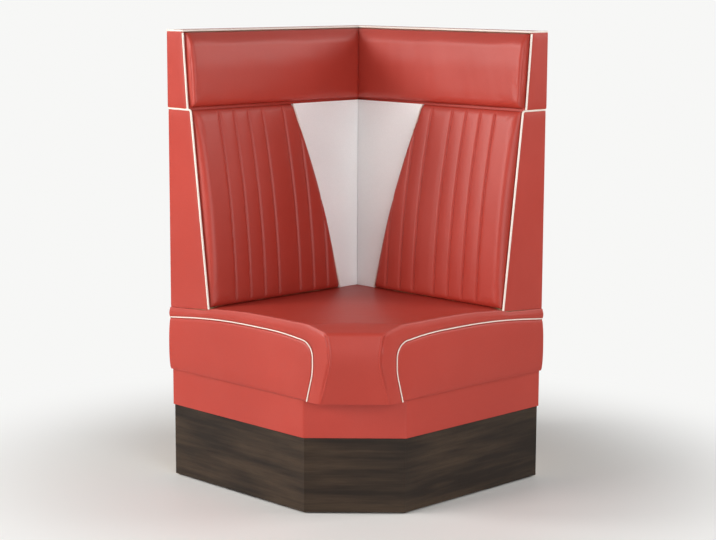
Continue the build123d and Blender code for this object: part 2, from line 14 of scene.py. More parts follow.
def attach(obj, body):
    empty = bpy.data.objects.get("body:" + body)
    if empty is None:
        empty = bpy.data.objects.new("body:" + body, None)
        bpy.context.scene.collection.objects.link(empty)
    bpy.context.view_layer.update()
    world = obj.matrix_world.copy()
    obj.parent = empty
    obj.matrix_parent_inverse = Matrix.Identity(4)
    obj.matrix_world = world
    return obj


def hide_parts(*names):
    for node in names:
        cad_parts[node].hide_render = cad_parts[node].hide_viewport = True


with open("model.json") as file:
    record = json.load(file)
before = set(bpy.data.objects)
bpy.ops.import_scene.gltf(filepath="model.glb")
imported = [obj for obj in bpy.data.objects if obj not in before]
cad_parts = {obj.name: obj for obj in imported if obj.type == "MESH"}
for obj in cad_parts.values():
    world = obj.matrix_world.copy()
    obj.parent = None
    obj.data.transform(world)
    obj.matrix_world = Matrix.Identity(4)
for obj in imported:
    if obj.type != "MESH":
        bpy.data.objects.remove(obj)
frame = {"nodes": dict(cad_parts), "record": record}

logging.basicConfig(level=logging.INFO, format="%(message)s")
log = logging.getLogger("booth")

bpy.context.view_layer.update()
MILLIMETRE = 0.001
ROOM_CORNER = np.array([-0.359, 0.359, 0.0])
HALF_ROOT = math.sqrt(0.5)
LEAST = 1e-9
WELD = 2e-5
DEGENERATE = 1e-6

Numbers = float | np.ndarray
Piece = bpy.types.Object
Socket = bpy.types.NodeSocket
Material = bpy.types.Material


# Meshes. Pieces are drawn in millimetres from the room's corner: x runs along the right wing, y is
# negative away from its wall, and the left wing is the twin about the corner's diagonal.


class Side(Enum):
    """The two wings of the unit."""

    RIGHT = "right"
    LEFT = "left"


def twin(points: np.ndarray) -> np.ndarray:
    """Mirrors points about the corner's diagonal."""
    return np.stack([-points[..., 1], -points[..., 0], points[..., 2]], axis=-1)


def wing_points(along: Numbers, depth: Numbers, height: Numbers) -> np.ndarray:
    """Points from distances along the wing, distances from its wall and heights."""
    return np.stack(np.broadcast_arrays(along, np.negative(depth), height), axis=-1)


def linked(name: str, data: bpy.types.ID) -> Piece:
    """Makes an object and links it to the scene.

    Args:
        name: The object's name.
        data: Its mesh, camera or lamp.

    Returns:
        The new object.
    """
    made = bpy.data.objects.new(name, data)
    bpy.context.scene.collection.objects.link(made)
    return made


def places_of(mesh: bpy.types.Mesh) -> np.ndarray:
    """Reads a mesh's points.

    Args:
        mesh: The mesh.

    Returns:
        Its points in metres, one per row.
    """
    places = np.empty(len(mesh.vertices) * 3)
    mesh.vertices.foreach_get("co", places)
    return places.reshape(-1, 3)


class Shell:
    """Points and faces of one closed piece, gathered sheet by sheet."""

    def __init__(self) -> None:
        """Starts with no points and no faces."""
        self.points: list[np.ndarray] = []
        self.faces: list[tuple[int, ...]] = []
        self.count = 0

    def sheet(self, grid: np.ndarray, closed: bool = False) -> None:
        """Adds a sheet of quads.

        Args:
            grid: Points by row and column.
            closed: Whether the last column joins the first.
        """
        index = self.count + np.arange(grid[..., 0].size).reshape(grid.shape[:2])
        self.points.append(grid.reshape(-1, 3))
        self.count += index.size
        if closed:
            index = np.column_stack([index, index[:, 0]])
        corners = (index[:-1, :-1], index[:-1, 1:], index[1:, 1:], index[1:, :-1])
        self.faces += map(tuple, np.stack(corners, axis=-1).reshape(-1, 4).tolist())

    def loop(self, points: np.ndarray) -> None:
        """Adds one flat face.

        Args:
            points: The face's corners in order.
        """
        self.points.append(points)
        self.faces.append(tuple(range(self.count, self.count + len(points))))
        self.count += len(points)

    def slab(self, front: np.ndarray, back: np.ndarray) -> "Shell":
        """Adds two sheets and the four side walls between them.

        Args:
            front: The shown sheet.
            back: The sheet behind it, with as many rows and columns.

        Returns:
            The shell itself.
        """
        self.sheet(front)
        self.sheet(back)
        for edge in ((0,), (-1,), (slice(None), 0), (slice(None), -1)):
            self.sheet(np.stack([front[edge], back[edge]]))
        return self

    def box(self, front: np.ndarray, back: np.ndarray, rows: int = 3) -> "Shell":
        """Adds a sheet with divided side walls and a flat back.

        Args:
            front: The shown sheet.
            back: The same sheet laid on its board.
            rows: How many rows of points each wall has.

        Returns:
            The shell itself.
        """
        self.sheet(front)
        whole, turned = slice(None), slice(None, None, -1)
        rims = []
        for edge in ((0,), (whole, -1), (-1, turned), (turned, 0)):
            self.sheet(blended(front[edge], back[edge], rows))
            rims.append(back[edge][:-1])
        self.loop(np.concatenate(rims))
        return self

    def build(self, name: str, side: Side = Side.RIGHT, crease: float = 50.0) -> Piece:
        """Makes the object, with its seams welded and its normals outward.

        Args:
            name: The piece's name.
            side: The wing that the piece belongs to.
            crease: The angle in degrees above which an edge shows as sharp.

        Returns:
            The new object, linked to the scene.
        """
        points = np.concatenate(self.points)
        if side is Side.LEFT:
            points = twin(points)
        mesh = bpy.data.meshes.new(name)
        mesh.from_pydata((points * MILLIMETRE + ROOM_CORNER).tolist(), [], self.faces)
        shape = bmesh.new()
        shape.from_mesh(mesh)
        bmesh.ops.remove_doubles(shape, verts=shape.verts, dist=WELD)
        bmesh.ops.dissolve_degenerate(shape, edges=shape.edges, dist=DEGENERATE)
        bmesh.ops.recalc_face_normals(shape, faces=shape.faces)
        for face in shape.faces:
            face.smooth = True
        shape.to_mesh(mesh)
        shape.free()
        mesh.set_sharp_from_angle(angle=math.radians(crease))
        return linked(name, mesh)


def blended(start: np.ndarray, stop: np.ndarray, count: int) -> np.ndarray:
    """A number of rows of points that pass evenly from one row to another."""
    share = np.linspace(0, 1, count)[:, None, None]
    return start[None] * (1 - share) + stop[None] * share


def spans(start: np.ndarray, stop: Numbers, shares: np.ndarray) -> np.ndarray:
    """Places between each row's start and stop, at shares of the way."""
    return start[:, None] + (stop - start)[:, None] * shares[None]


def eased(count: int) -> np.ndarray:
    """Shares from 0 to 1 that stand closer together at both ends."""
    return (1 - np.cos(np.linspace(0, math.pi, count))) / 2


def spaced(length: float, first: float, last: float, count: int, ends: int = 9) -> np.ndarray:
    """Places along a length, closer together inside its two rolled ends.

    Args:
        length: The length.
        first: The width of the rolled end at its start.
        last: The width of the rolled end at its far end.
        count: How many places lie between them.
        ends: How many places each rolled end has.

    Returns:
        The places in order.
    """
    curve = 1 - np.cos(np.linspace(0, math.pi / 2, ends))
    middle = np.linspace(first, length - last, count)
    return np.concatenate([first * curve[:-1], middle, length - last * curve[-2::-1]])


def clipped(values: np.ndarray) -> np.ndarray:
    """Values kept between 0 and 1."""
    return np.clip(values, 0, 1)


def faded_ends(count: int, steps: int) -> np.ndarray:
    """A row of ones that falls to 0 over some steps at each end."""
    index = np.arange(count)
    return clipped(np.minimum(index, index[::-1]) / steps)


def directions(line: np.ndarray) -> np.ndarray:
    """A line's unit directions at its points."""
    step = np.gradient(line, axis=0)
    return step / np.linalg.norm(step, axis=1, keepdims=True)


def sideways(line: np.ndarray) -> np.ndarray:
    """Unit directions to the right of a flat line."""
    ahead = directions(line)
    return np.stack([ahead[:, 1], -ahead[:, 0]], axis=-1)


def surface_normals(grid: np.ndarray) -> np.ndarray:
    """Unit normals of a sheet, by its columns and rows."""
    normal = np.cross(np.gradient(grid, axis=1), np.gradient(grid, axis=0))
    return normal / np.maximum(np.linalg.norm(normal, axis=-1, keepdims=True), LEAST)


def turned_to(normal: np.ndarray, away: np.ndarray) -> np.ndarray:
    """Normals turned to the side that other directions point to."""
    return normal * np.sign(np.sum(normal * away, axis=-1, keepdims=True))


def quarter_drop(distance: np.ndarray, radius: float) -> np.ndarray:
    """How far a rolled edge falls at a distance from the end."""
    inside = np.clip(radius - distance, 0, radius)
    return radius - np.sqrt(np.maximum(radius**2 - inside**2, 0))


def rolled(distance: np.ndarray, width: float, power: float = 2.2) -> np.ndarray:
    """The share of its height that a pad has at a distance from a rolled edge."""
    return np.sqrt(np.maximum(1 - clipped(1 - distance / width) ** power, 0))


def ridge(distance: np.ndarray, place: float, width: float) -> np.ndarray:
    """A soft ridge of height 1 at a place."""
    return np.exp(-(((distance - place) / width) ** 2))


def smooth_lowest(first: np.ndarray, second: np.ndarray, blend: float) -> np.ndarray:
    """The lower of two heights, eased where they meet."""
    share = clipped(0.5 + 0.5 * (second - first) / blend)
    return second * (1 - share) + first * share - blend * share * (1 - share)


def ripple(points: np.ndarray, length: float, seed: int, waves: int = 7) -> np.ndarray:
    """Gentle uneven waves between -1 and 1, the same on every run.

    Args:
        points: Points by row and column.
        length: The waves' usual length.
        seed: Which waves to take.
        waves: How many waves are added up.

    Returns:
        One value for each point.
    """
    chance = np.random.default_rng(seed)
    total = np.zeros(points.shape[:-1])
    for _ in range(waves):
        direction = chance.normal(size=3)
        direction /= np.linalg.norm(direction)
        size = length * chance.uniform(0.6, 1.8)
        total += np.sin(points @ direction * (math.tau / size) + chance.uniform(0, math.tau))
    return total / waves


def gathered(
    distance: Numbers, pitch: float, drift: float, length: float, phase: float = 0.0
) -> Numbers:
    """A seam's gathers between -1 and 1, whose pitch drifts over a length."""
    return np.sin(distance / pitch + drift * np.sin(distance / length + phase))


def creased(points: np.ndarray, layers: tuple) -> np.ndarray:
    """Adds up ripples, each given by its height, its length and its seed."""
    return sum(height * ripple(points, length, seed) for height, length, seed in layers)


def rounded_line(corners: list, radii: tuple, spacing: float) -> np.ndarray:
    """Points along a line whose corners are turned by arcs.

    Args:
        corners: The corners as pairs.
        radii: One radius for each corner between the ends.
        spacing: The greatest distance between points.

    Returns:
        The points in order.
    """
    places = np.array(corners, dtype=float)
    found = [places[0]]
    for index, radius in enumerate(radii):
        before, corner, after = places[index : index + 3]
        size_in, size_out = np.linalg.norm(before - corner), np.linalg.norm(after - corner)
        arm_in, arm_out = (before - corner) / size_in, (after - corner) / size_out
        half = math.acos(float(arm_in @ arm_out)) / 2
        room_in = size_in / 2 if index > 0 else size_in
        room_out = size_out / 2 if index < len(radii) - 1 else size_out
        tangent = min(radius / math.tan(half), room_in, room_out)
        turn = math.pi - 2 * half
        actual = tangent * math.tan(half)
        bisector = (arm_in + arm_out) / np.linalg.norm(arm_in + arm_out)
        centre = corner + bisector * (actual / math.sin(half))
        first = corner + arm_in * tangent - centre
        last = corner + arm_out * tangent - centre
        for share in np.linspace(0, 1, max(3, math.ceil(actual * turn / spacing)) + 1):
            weight_first = math.sin((1 - share) * turn) / math.sin(turn)
            weight_last = math.sin(share * turn) / math.sin(turn)
            found.append(centre + first * weight_first + last * weight_last)
    line = [found[0]]
    for point in found[1:] + [places[-1]]:
        start, gap = line[-1], np.linalg.norm(point - line[-1])
        if gap >= MILLIMETRE:
            pieces = math.ceil(gap / spacing)
            line += [start + (point - start) * (step / pieces) for step in range(1, pieces + 1)]
    return np.array(line)


def resampled(line: np.ndarray, shares: np.ndarray) -> np.ndarray:
    """Points of a line at shares of its length."""
    length = np.concatenate([[0], np.cumsum(np.linalg.norm(np.diff(line, axis=0), axis=1))])
    return np.stack([np.interp(shares * length[-1], length, axis) for axis in line.T], axis=-1)


def distance_to(points: np.ndarray, line: np.ndarray) -> np.ndarray:
    """How far the points of a flat grid are from a line's points."""
    return np.min(np.linalg.norm(points[..., None, :] - line, axis=-1), axis=-1)


def tube(shell: Shell, path: np.ndarray, radius: float, around: int = 12) -> Shell:
    """Adds a round bar with closed ends along a line.

    Args:
        shell: The shell that takes it.
        path: The line's points.
        radius: The bar's radius.
        around: How many points go round it.

    Returns:
        The shell.
    """
    ahead = directions(path)
    side = np.cross(ahead[0], [0.0, 0.0, 1.0])
    if np.linalg.norm(side) < 0.1:
        side = np.cross(ahead[0], [1.0, 0.0, 0.0])
    turns = np.linspace(0, math.tau, around, endpoint=False)[:, None]
    rings = []
    for point, along in zip(path, ahead):
        side = side - along * (side @ along)
        side /= np.linalg.norm(side)
        spokes = np.cos(turns) * side + np.sin(turns) * np.cross(along, side)
        rings.append(point + radius * spokes)
    shell.sheet(np.array(rings), closed=True)
    shell.loop(rings[0][::-1])
    shell.loop(rings[-1])
    return shell


def stitches(path: np.ndarray, pitch: float, length: float, radius: float) -> Shell:
    """Draws a row of thread stitches along a line.

    Args:
        path: The line's points.
        pitch: The distance from one stitch to the next.
        length: The length of a stitch.
        radius: The thread's radius.

    Returns:
        The stitches' shell.
    """
    shell = Shell()
    total = float(np.sum(np.linalg.norm(np.diff(path, axis=0), axis=1)))
    count = int(total / pitch)
    reach = length / 2 / total
    for index in range(count):
        middle = (index + 0.5) / count
        tube(shell, resampled(path, np.linspace(middle - reach, middle + reach, 4)), radius, 6)
    return shell


# Cloth. A coarse copy of a cover settles, and the fine cover follows its nearest points.


CLOTH = {
    "vertex_group_mass": "held",
    "quality": 4,
    "mass": 0.3,
    "tension_stiffness": 25,
    "compression_stiffness": 25,
    "bending_stiffness": 1.2,
    "use_pressure": True,
}
CLOTH_FRAMES = 20
NEAREST = 6
SOFTENING = 5e-4


def twin_piece(piece: Piece, name: str) -> Piece:
    """Copies a right wing's piece to the left wing.

    Args:
        piece: The right wing's piece.
        name: The new piece's name.

    Returns:
        The left wing's piece.
    """
    mesh = piece.data.copy()
    mesh.name = name
    mesh.vertices.foreach_set("co", twin(places_of(mesh)).ravel())
    mesh.flip_normals()
    mesh.update()
    return linked(name, mesh)


def corner_points(piece: Piece) -> np.ndarray:
    """A piece's points in millimetres from the room's corner."""
    return (places_of(piece.data) - ROOM_CORNER) / MILLIMETRE


def carry(source: np.ndarray, moved: np.ndarray, piece: Piece, free: np.ndarray) -> None:
    """Moves a fine cover as the nearest points of a coarse one moved.

    Args:
        source: The coarse cover's points before it moved.
        moved: How far each of them moved.
        piece: The fine cover, whose mesh takes the result.
        free: How freely each of the fine cover's points moves, from 0 to 1.
    """
    nearest = KDTree(len(source))
    for index, point in enumerate(source):
        nearest.insert(point, index)
    nearest.balance()
    places = places_of(piece.data)
    for index, place in enumerate(places.copy()):
        found = nearest.find_n(place, NEAREST)
        near = np.array([entry[1] for entry in found])
        weight = 1.0 / (np.array([entry[2] for entry in found]) + SOFTENING) ** 2
        places[index] += free[index] * (weight @ moved[near]) / weight.sum()
    piece.data.vertices.foreach_set("co", places.ravel())
    piece.data.update()


def settle(piece: Piece, held: np.ndarray, pressure: float, most: float) -> tuple:
    """Lets a cover swell over its filling as cloth, held at its seams.

    Args:
        piece: The coarse cover, which is removed afterwards.
        held: Which points the seams, boards and staples hold.
        pressure: The filling's pressure.
        most: The furthest that a point may move, in millimetres.

    Returns:
        The cover's points before it moved, and how far each of them moved.
    """
    scene = bpy.context.scene
    group = piece.vertex_groups.new(name=CLOTH["vertex_group_mass"])
    group.add([int(index) for index in np.flatnonzero(held)], 1.0, "REPLACE")
    cloth = piece.modifiers.new("settle", "CLOTH")
    for name, value in CLOTH.items():
        setattr(cloth.settings, name, value)
    cloth.settings.uniform_pressure_force = pressure
    cloth.settings.effector_weights.gravity = 0
    cloth.collision_settings.use_collision = False
    cloth.point_cache.frame_start = 1
    cloth.point_cache.frame_end = CLOTH_FRAMES
    before = places_of(piece.data)
    for moment in range(1, CLOTH_FRAMES + 1):
        scene.frame_set(moment)
    settled = piece.evaluated_get(bpy.context.evaluated_depsgraph_get()).to_mesh()
    moved = places_of(settled) - before
    piece.modifiers.remove(cloth)
    scene.frame_set(1)
    length = np.linalg.norm(moved, axis=1, keepdims=True)
    limit = most * MILLIMETRE
    moved *= np.tanh(length / limit) * limit / np.maximum(length, LEAST)
    found = float(np.max(length)) / MILLIMETRE
    log.info("%s settled by up to %.1f mm, kept within %.1f mm", piece.name, found, most)
    bpy.data.objects.remove(piece)
    return before, moved


# Shader nodes


class Node(Enum):
    """The kinds of shader node that the scene uses."""

    NOISE = "ShaderNodeTexNoise"
    VORONOI = "ShaderNodeTexVoronoi"
    MIX = "ShaderNodeMix"
    MIX_SHADER = "ShaderNodeMixShader"
    MATH = "ShaderNodeMath"
    SPAN = "ShaderNodeVectorMath"
    MAPPING = "ShaderNodeMapping"
    PLACE = "ShaderNodeTexCoord"
    BUMP = "ShaderNodeBump"
    RANGE = "ShaderNodeMapRange"
    GROUP = "ShaderNodeGroup"
    SPLIT = "ShaderNodeSeparateXYZ"
    COMBINE = "ShaderNodeCombineColor"
    RAY = "ShaderNodeLightPath"
    BACKGROUND = "ShaderNodeBackground"
    EMISSION = "ShaderNodeEmission"
    WORLD = "ShaderNodeOutputWorld"


SHADER = "Principled BSDF"
COLOUR_KIND = "NodeSocketColor"
VALUE_KIND = "NodeSocketFloat"
FIRST_COLOUR, SECOND_COLOUR, MIXED_COLOUR = 6, 7, 2


class Tree:
    """A short way to add and join nodes."""

    def __init__(self, tree: bpy.types.NodeTree) -> None:
        """Keeps the tree that nodes go into."""
        self.tree = tree

    def fill(self, node: bpy.types.Node, inputs: dict) -> None:
        """Gives a node's inputs their values.

        Args:
            node: The node.
            inputs: A number, a colour or another node's socket for each input's name or index.
        """
        for key, given in inputs.items():
            socket = node.inputs[key]
            if isinstance(given, Socket):
                self.tree.links.new(given, socket)
            else:
                socket.default_value = (*given, 1) if socket.type == "RGBA" else given

    def add(self, kind: Node, inputs: dict, **settings: object) -> bpy.types.NodeOutputs:
        """Adds a node.

        Args:
            kind: The node's kind.
            inputs: Its inputs' values.
            settings: Its settings, such as operation or blend_type.

        Returns:
            Its outputs.
        """
        node = self.tree.nodes.new(kind.value)
        for name, value in settings.items():
            setattr(node, name, value)
        self.fill(node, inputs)
        return node.outputs

    def noise(self, place: Socket, scale: object, detail: float) -> Socket:
        """Adds a noise over a place."""
        return self.add(Node.NOISE, {"Vector": place, "Scale": scale, "Detail": detail})["Fac"]

    def stretched(self, place: Socket, scale: tuple) -> Socket:
        """Stretches a place along its axes."""
        return self.add(Node.MAPPING, {"Vector": place, "Scale": scale})["Vector"]

    def value(self, operation: str, first: object, second: object) -> Socket:
        """Works out a value from two sockets or numbers."""
        return self.add(Node.MATH, {0: first, 1: second}, operation=operation)[0]

    def times(self, first: object, second: object) -> Socket:
        """Multiplies two sockets or numbers."""
        return self.value("MULTIPLY", first, second)

    def plus(self, first: object, second: object) -> Socket:
        """Adds two sockets or numbers."""
        return self.value("ADD", first, second)

    def spread(self, source: Socket, start: tuple, stop: tuple, **settings: object) -> Socket:
        """Maps a value from one range onto another."""
        ends = {"From Min": start[0], "From Max": start[1], "To Min": stop[0], "To Max": stop[1]}
        return self.add(Node.RANGE, {"Value": source, **ends}, **settings)["Result"]

    def colours(self, share: object, first: object, second: object, how: str = "MIX") -> Socket:
        """Mixes two colours by the share of the second."""
        inputs = {0: share, FIRST_COLOUR: first, SECOND_COLOUR: second}
        return self.add(Node.MIX, inputs, data_type="RGBA", blend_type=how)[MIXED_COLOUR]

    def shaders(self, share: Socket, first: Socket, second: Socket) -> Socket:
        """Mixes two shaders by the share of the second."""
        return self.add(Node.MIX_SHADER, {0: share, 1: first, 2: second})[0]


# The camera, the lamps and the floor


@dataclass(frozen=True)
class Lamp:
    """One square soft lamp: its place and width in metres, and its power in watts."""

    name: str
    place: tuple
    width: float
    power: float
    colour: tuple

    def hang(self, aim: tuple) -> None:
        """Hangs the lamp.

        Args:
            aim: The point that it faces.
        """
        data = bpy.data.lights.new(self.name, "AREA")
        data.size = self.width
        data.energy = self.power
        data.color = self.colour
        lamp = linked(self.name, data)
        lamp.location = self.place
        ahead = Vector(aim) - Vector(self.place)
        lamp.rotation_euler = ahead.to_track_quat("-Z", "Y").to_euler()


# The strong lamps stand to the left, so the left wing shades the corner.
LAMPS = (
    Lamp("key", (-1.0, -3.7, 1.7), 1.7, 88, (1.0, 0.985, 0.96)),
    Lamp("sheen", (-2.3, -3.0, 2.6), 1.0, 74, (1.0, 0.985, 0.965)),
    Lamp("rim", (2.3, 2.3, 2.3), 1.6, 52, (1.0, 0.99, 0.97)),
    Lamp("fill", (3.4, -1.4, 1.3), 2.2, 69, (0.985, 0.99, 1.0)),
)


@dataclass
class Studio:
    """The camera at the photograph's place, with soft lamps and a pale floor."""

    eye: tuple = (3.4645, -3.4131, 1.3574)
    yaw: float = 45.3761
    pitch: float = -9.145
    roll: float = 0.2199
    lens: float = 91.82
    sensor: float = 36.0
    aim: tuple = (0.03, 0.0, 0.7)
    floor_size: float = 30.0
    floor_clear: float = 0.5
    floor_gone: float = 1.5
    floor_colour: tuple = (0.89, 0.88, 0.86)
    floor_dullness: float = 0.6
    background: tuple = (0.93, 0.93, 0.92)
    glow: tuple = (0.93, 0.96, 1.0)
    glow_level: float = 0.03
    glow_overhead: float = 0.01

    def camera(self) -> None:
        """Sets the camera up."""
        yaw, pitch, roll = map(math.radians, (self.yaw, self.pitch, self.roll))
        right = Vector((math.cos(yaw), math.sin(yaw), 0))
        level = math.cos(pitch)
        forward = Vector((-math.sin(yaw) * level, math.cos(yaw) * level, math.sin(pitch)))
        up = right.cross(forward)
        across = right * math.cos(roll) + up * math.sin(roll)
        raised = up * math.cos(roll) - right * math.sin(roll)
        turn = Matrix((across, raised, -forward)).transposed().to_4x4()
        data = bpy.data.cameras.new("camera")
        data.lens = self.lens
        data.sensor_width = self.sensor
        data.sensor_fit = "HORIZONTAL"
        camera = linked("camera", data)
        camera.matrix_world = Matrix.Translation(self.eye) @ turn
        bpy.context.scene.camera = camera

    def world(self) -> None:
        """Surrounds the unit with even light and a pale background."""
        world = bpy.data.worlds.new("surround")
        bpy.context.scene.world = world
        world.use_nodes = True
        world.node_tree.nodes.clear()
        tree = Tree(world.node_tree)
        up = tree.add(Node.SPLIT, {0: tree.add(Node.PLACE, {})["Generated"]})["Z"]
        level = tree.spread(up, (0.1, 0.9), (self.glow_level, self.glow_overhead))
        glow = tree.add(Node.BACKGROUND, {"Color": self.glow, "Strength": level})[0]
        seen = tree.add(Node.BACKGROUND, {"Color": self.background, "Strength": 1.0})[0]
        ray = tree.add(Node.RAY, {})
        share = tree.value("MAXIMUM", ray["Is Camera Ray"], ray["Is Glossy Ray"])
        share = tree.value("MAXIMUM", share, ray["Is Transmission Ray"])
        tree.add(Node.WORLD, {"Surface": tree.shaders(share, glow, seen)})

    def floor(self) -> None:
        """Lays the plain pale floor, which fades into the background."""
        mesh = bpy.data.meshes.new("floor")
        half = self.floor_size / 2
        corners = [(-half, -half, 0), (half, -half, 0), (half, half, 0), (-half, half, 0)]
        mesh.from_pydata(corners, [], [(0, 1, 2, 3)])
        material = bpy.data.materials.new("pale_floor")
        material.use_nodes = True
        nodes = material.node_tree.nodes
        tree = Tree(material.node_tree)
        looks = {"Base Color": self.floor_colour, "Roughness": self.floor_dullness}
        tree.fill(nodes[SHADER], looks)
        place = tree.add(Node.PLACE, {})["Object"]
        span = tree.add(Node.SPAN, {0: place}, operation="LENGTH")["Value"]
        ends = (self.floor_clear, self.floor_gone)
        far = tree.spread(span, ends, (0.0, 1.0), interpolation_type="SMOOTHERSTEP")
        share = tree.times(far, tree.add(Node.RAY, {})["Is Camera Ray"])
        seen = tree.add(Node.EMISSION, {"Color": self.background})[0]
        mixed = tree.shaders(share, nodes[SHADER].outputs[0], seen)
        tree.fill(nodes["Material Output"], {"Surface": mixed})
        mesh.materials.append(material)
        linked("floor", mesh)

    def set_up(self) -> None:
        """Makes the whole studio."""
        self.camera()
        for lamp in LAMPS:
            lamp.hang(self.aim)
        self.world()
        self.floor()
        bpy.context.scene.view_settings.view_transform = "Standard"
        log.info("studio ready")


# Finishes


class Effect:
    """A shared effect: a node group that gives a finish its colour, roughness and height."""

    def __init__(self, name: str, inputs: dict) -> None:
        """Makes the group's sockets.

        Args:
            name: The group's name.
            inputs: A default value for each input's name.
        """
        self.group = bpy.data.node_groups.new(name, "ShaderNodeTree")
        sockets = self.group.interface
        for label, default in inputs.items():
            colour = isinstance(default, tuple)
            kind = COLOUR_KIND if colour else VALUE_KIND
            socket = sockets.new_socket(name=label, in_out="INPUT", socket_type=kind)
            socket.default_value = (*default, 1) if colour else default
        for label in ("Colour", "Roughness", "Height"):
            kind = COLOUR_KIND if label == "Colour" else VALUE_KIND
            sockets.new_socket(name=label, in_out="OUTPUT", socket_type=kind)
        self.tree = Tree(self.group)
        self.given = self.group.nodes.new("NodeGroupInput").outputs
        self.place = self.tree.add(Node.PLACE, {})["Object"]

    def give(self, colour: Socket, roughness: Socket, height: Socket) -> None:
        """Joins the effect's results to the group's outputs."""
        results = {"Colour": colour, "Roughness": roughness, "Height": height}
        self.tree.fill(self.group.nodes.new("NodeGroupOutput"), results)


def vinyl_effect() -> Effect:
    """Upholstery vinyl: pressed grain, soft creasing, rubbed and slightly soiled patches.

    Returns:
        The shared effect.
    """
    inputs = {
        "Colour": (0.4, 0.05, 0.04),
        "Rubbed Colour": (0.5, 0.1, 0.08),
        "Grain Scale": 900.0,
        "Grain Depth": 0.35,
        "Sheen Spread": 0.08,
        "Dullness": 0.4,
    }
    effect = Effect("pressed_vinyl", inputs)
    tree, given, place = effect.tree, effect.given, effect.place
    shape = {"Vector": place, "Scale": given["Grain Scale"], "Smoothness": 0.6}
    cells = tree.add(Node.VORONOI, shape, feature="SMOOTH_F1")["Distance"]
    fine = tree.noise(place, 2200.0, 2.0)
    creases = tree.noise(tree.stretched(place, (1.0, 1.0, 0.45)), 60.0, 4.0)
    patches = tree.noise(place, 7.0, 4.0)
    clouds = tree.noise(place, 2.2, 2.0)
    grain = tree.times(tree.plus(cells, tree.times(fine, 0.35)), given["Grain Depth"])
    rubbed = tree.spread(patches, (0.46, 0.72), (0.0, 0.4))
    colour = tree.colours(rubbed, given["Colour"], given["Rubbed Colour"])
    pits = tree.spread(cells, (0.1, 0.6), (0.9, 1.04))
    shade = tree.times(pits, tree.spread(clouds, (0.3, 0.7), (0.93, 1.05)))
    grey = tree.add(Node.COMBINE, {0: shade, 1: shade, 2: shade})[0]
    gloss = tree.times(tree.value("SUBTRACT", patches, 0.5), given["Sheen Spread"])
    rough = tree.plus(tree.plus(given["Dullness"], gloss), tree.times(fine, 0.06))
    height = tree.plus(grain, tree.times(creases, 0.5))
    effect.give(tree.colours(1.0, colour, grey, "MULTIPLY"), rough, height)
    return effect


def grain_effect() -> Effect:
    """Wood grain that runs along one level direction, with streaks, pores and broad bands.

    Returns:
        The shared effect.
    """
    inputs = {
        "Dark Colour": (0.03, 0.022, 0.018),
        "Light Colour": (0.07, 0.055, 0.045),
        "Streaks": 1.0,
        "Pores": 0.4,
        "Dullness": 0.45,
    }
    effect = Effect("wood_grain", inputs)
    tree, given, place = effect.tree, effect.given, effect.place
    bands = tree.noise(tree.stretched(place, (2.6, 2.6, 17.0)), 1.5, 2.0)
    streaks = tree.noise(tree.stretched(place, (3.0, 3.0, 60.0)), 2.2, 6.0)
    pores = tree.noise(tree.stretched(place, (18.0, 18.0, 700.0)), 1.6, 3.0)
    dirt = tree.noise(place, 9.0, 3.0)
    mixed = tree.plus(tree.times(streaks, 0.3), tree.times(bands, 0.7))
    share = tree.times(tree.spread(mixed, (0.39, 0.61), (0.0, 1.0)), given["Streaks"])
    pored = tree.spread(pores, (0.36, 0.5), (1.0, 0.0))
    colour = tree.colours(share, given["Dark Colour"], given["Light Colour"])
    colour = tree.colours(tree.times(pored, given["Pores"]), colour, given["Dark Colour"])
    rough = tree.plus(given["Dullness"], tree.spread(dirt, (0.3, 0.7), (-0.07, 0.07)))
    height = tree.value("SUBTRACT", streaks, tree.times(pored, 0.6))
    effect.give(colour, tree.plus(rough, tree.times(pored, 0.1)), height)
    return effect


def speckle_effect() -> Effect:
    """Fine even speckle for foam, moulded plastic, pressed board and plated steel.

    Returns:
        The shared effect.
    """
    grey, second = (0.5, 0.5, 0.5), (0.4, 0.4, 0.4)
    inputs = {"Colour": grey, "Second Colour": second, "Scale": 600.0, "Dullness": 0.6}
    effect = Effect("fine_speckle", inputs)
    tree, given, place = effect.tree, effect.given, effect.place
    grains = tree.noise(place, given["Scale"], 4.0)
    share = tree.plus(tree.times(grains, 0.6), tree.times(tree.noise(place, 14.0, 3.0), 0.4))
    mixed = tree.spread(share, (0.35, 0.65), (0.0, 1.0))
    colour = tree.colours(mixed, given["Colour"], given["Second Colour"])
    rough = tree.plus(given["Dullness"], tree.spread(share, (0.35, 0.65), (-0.08, 0.08)))
    effect.give(colour, rough, grains)
    return effect


EFFECTS = {"vinyl": vinyl_effect, "wood": grain_effect, "speckle": speckle_effect}


@dataclass(frozen=True)
class Finish:
    """A material's shared effect, its gloss and relief, and the values of effect and shader."""

    effect: str
    dullness: float
    relief: float
    relief_depth: float
    values: dict
    shine: dict

    def make(self, name: str, book: dict) -> Material:
        """Makes the material, whose colour, roughness and relief come from its effect.

        Args:
            name: The material's name.
            book: The shared effects by name.

        Returns:
            The material.
        """
        made = bpy.data.materials.new(name)
        made.use_nodes = True
        tree = Tree(made.node_tree)
        inputs = {**self.values, "Dullness": self.dullness}
        group = tree.add(Node.GROUP, inputs, node_tree=book[self.effect].group)
        bump = {"Strength": self.relief, "Distance": self.relief_depth, "Height": group["Height"]}
        normal = tree.add(Node.BUMP, bump)["Normal"]
        looks = {"Base Color": group["Colour"], "Roughness": group["Roughness"], "Normal": normal}
        tree.fill(made.node_tree.nodes[SHADER], {**looks, **self.shine})
        shown = self.values.get("Colour", self.values.get("Light Colour"))
        made.diffuse_color = (*shown, 1)
        return made


def coating(weight: float, dullness: float, specular: float) -> dict:
    """The shader's values for a thin clear coat."""
    coat = {"Coat Weight": weight, "Coat Roughness": dullness}
    return {**coat, "Specular IOR Level": specular}


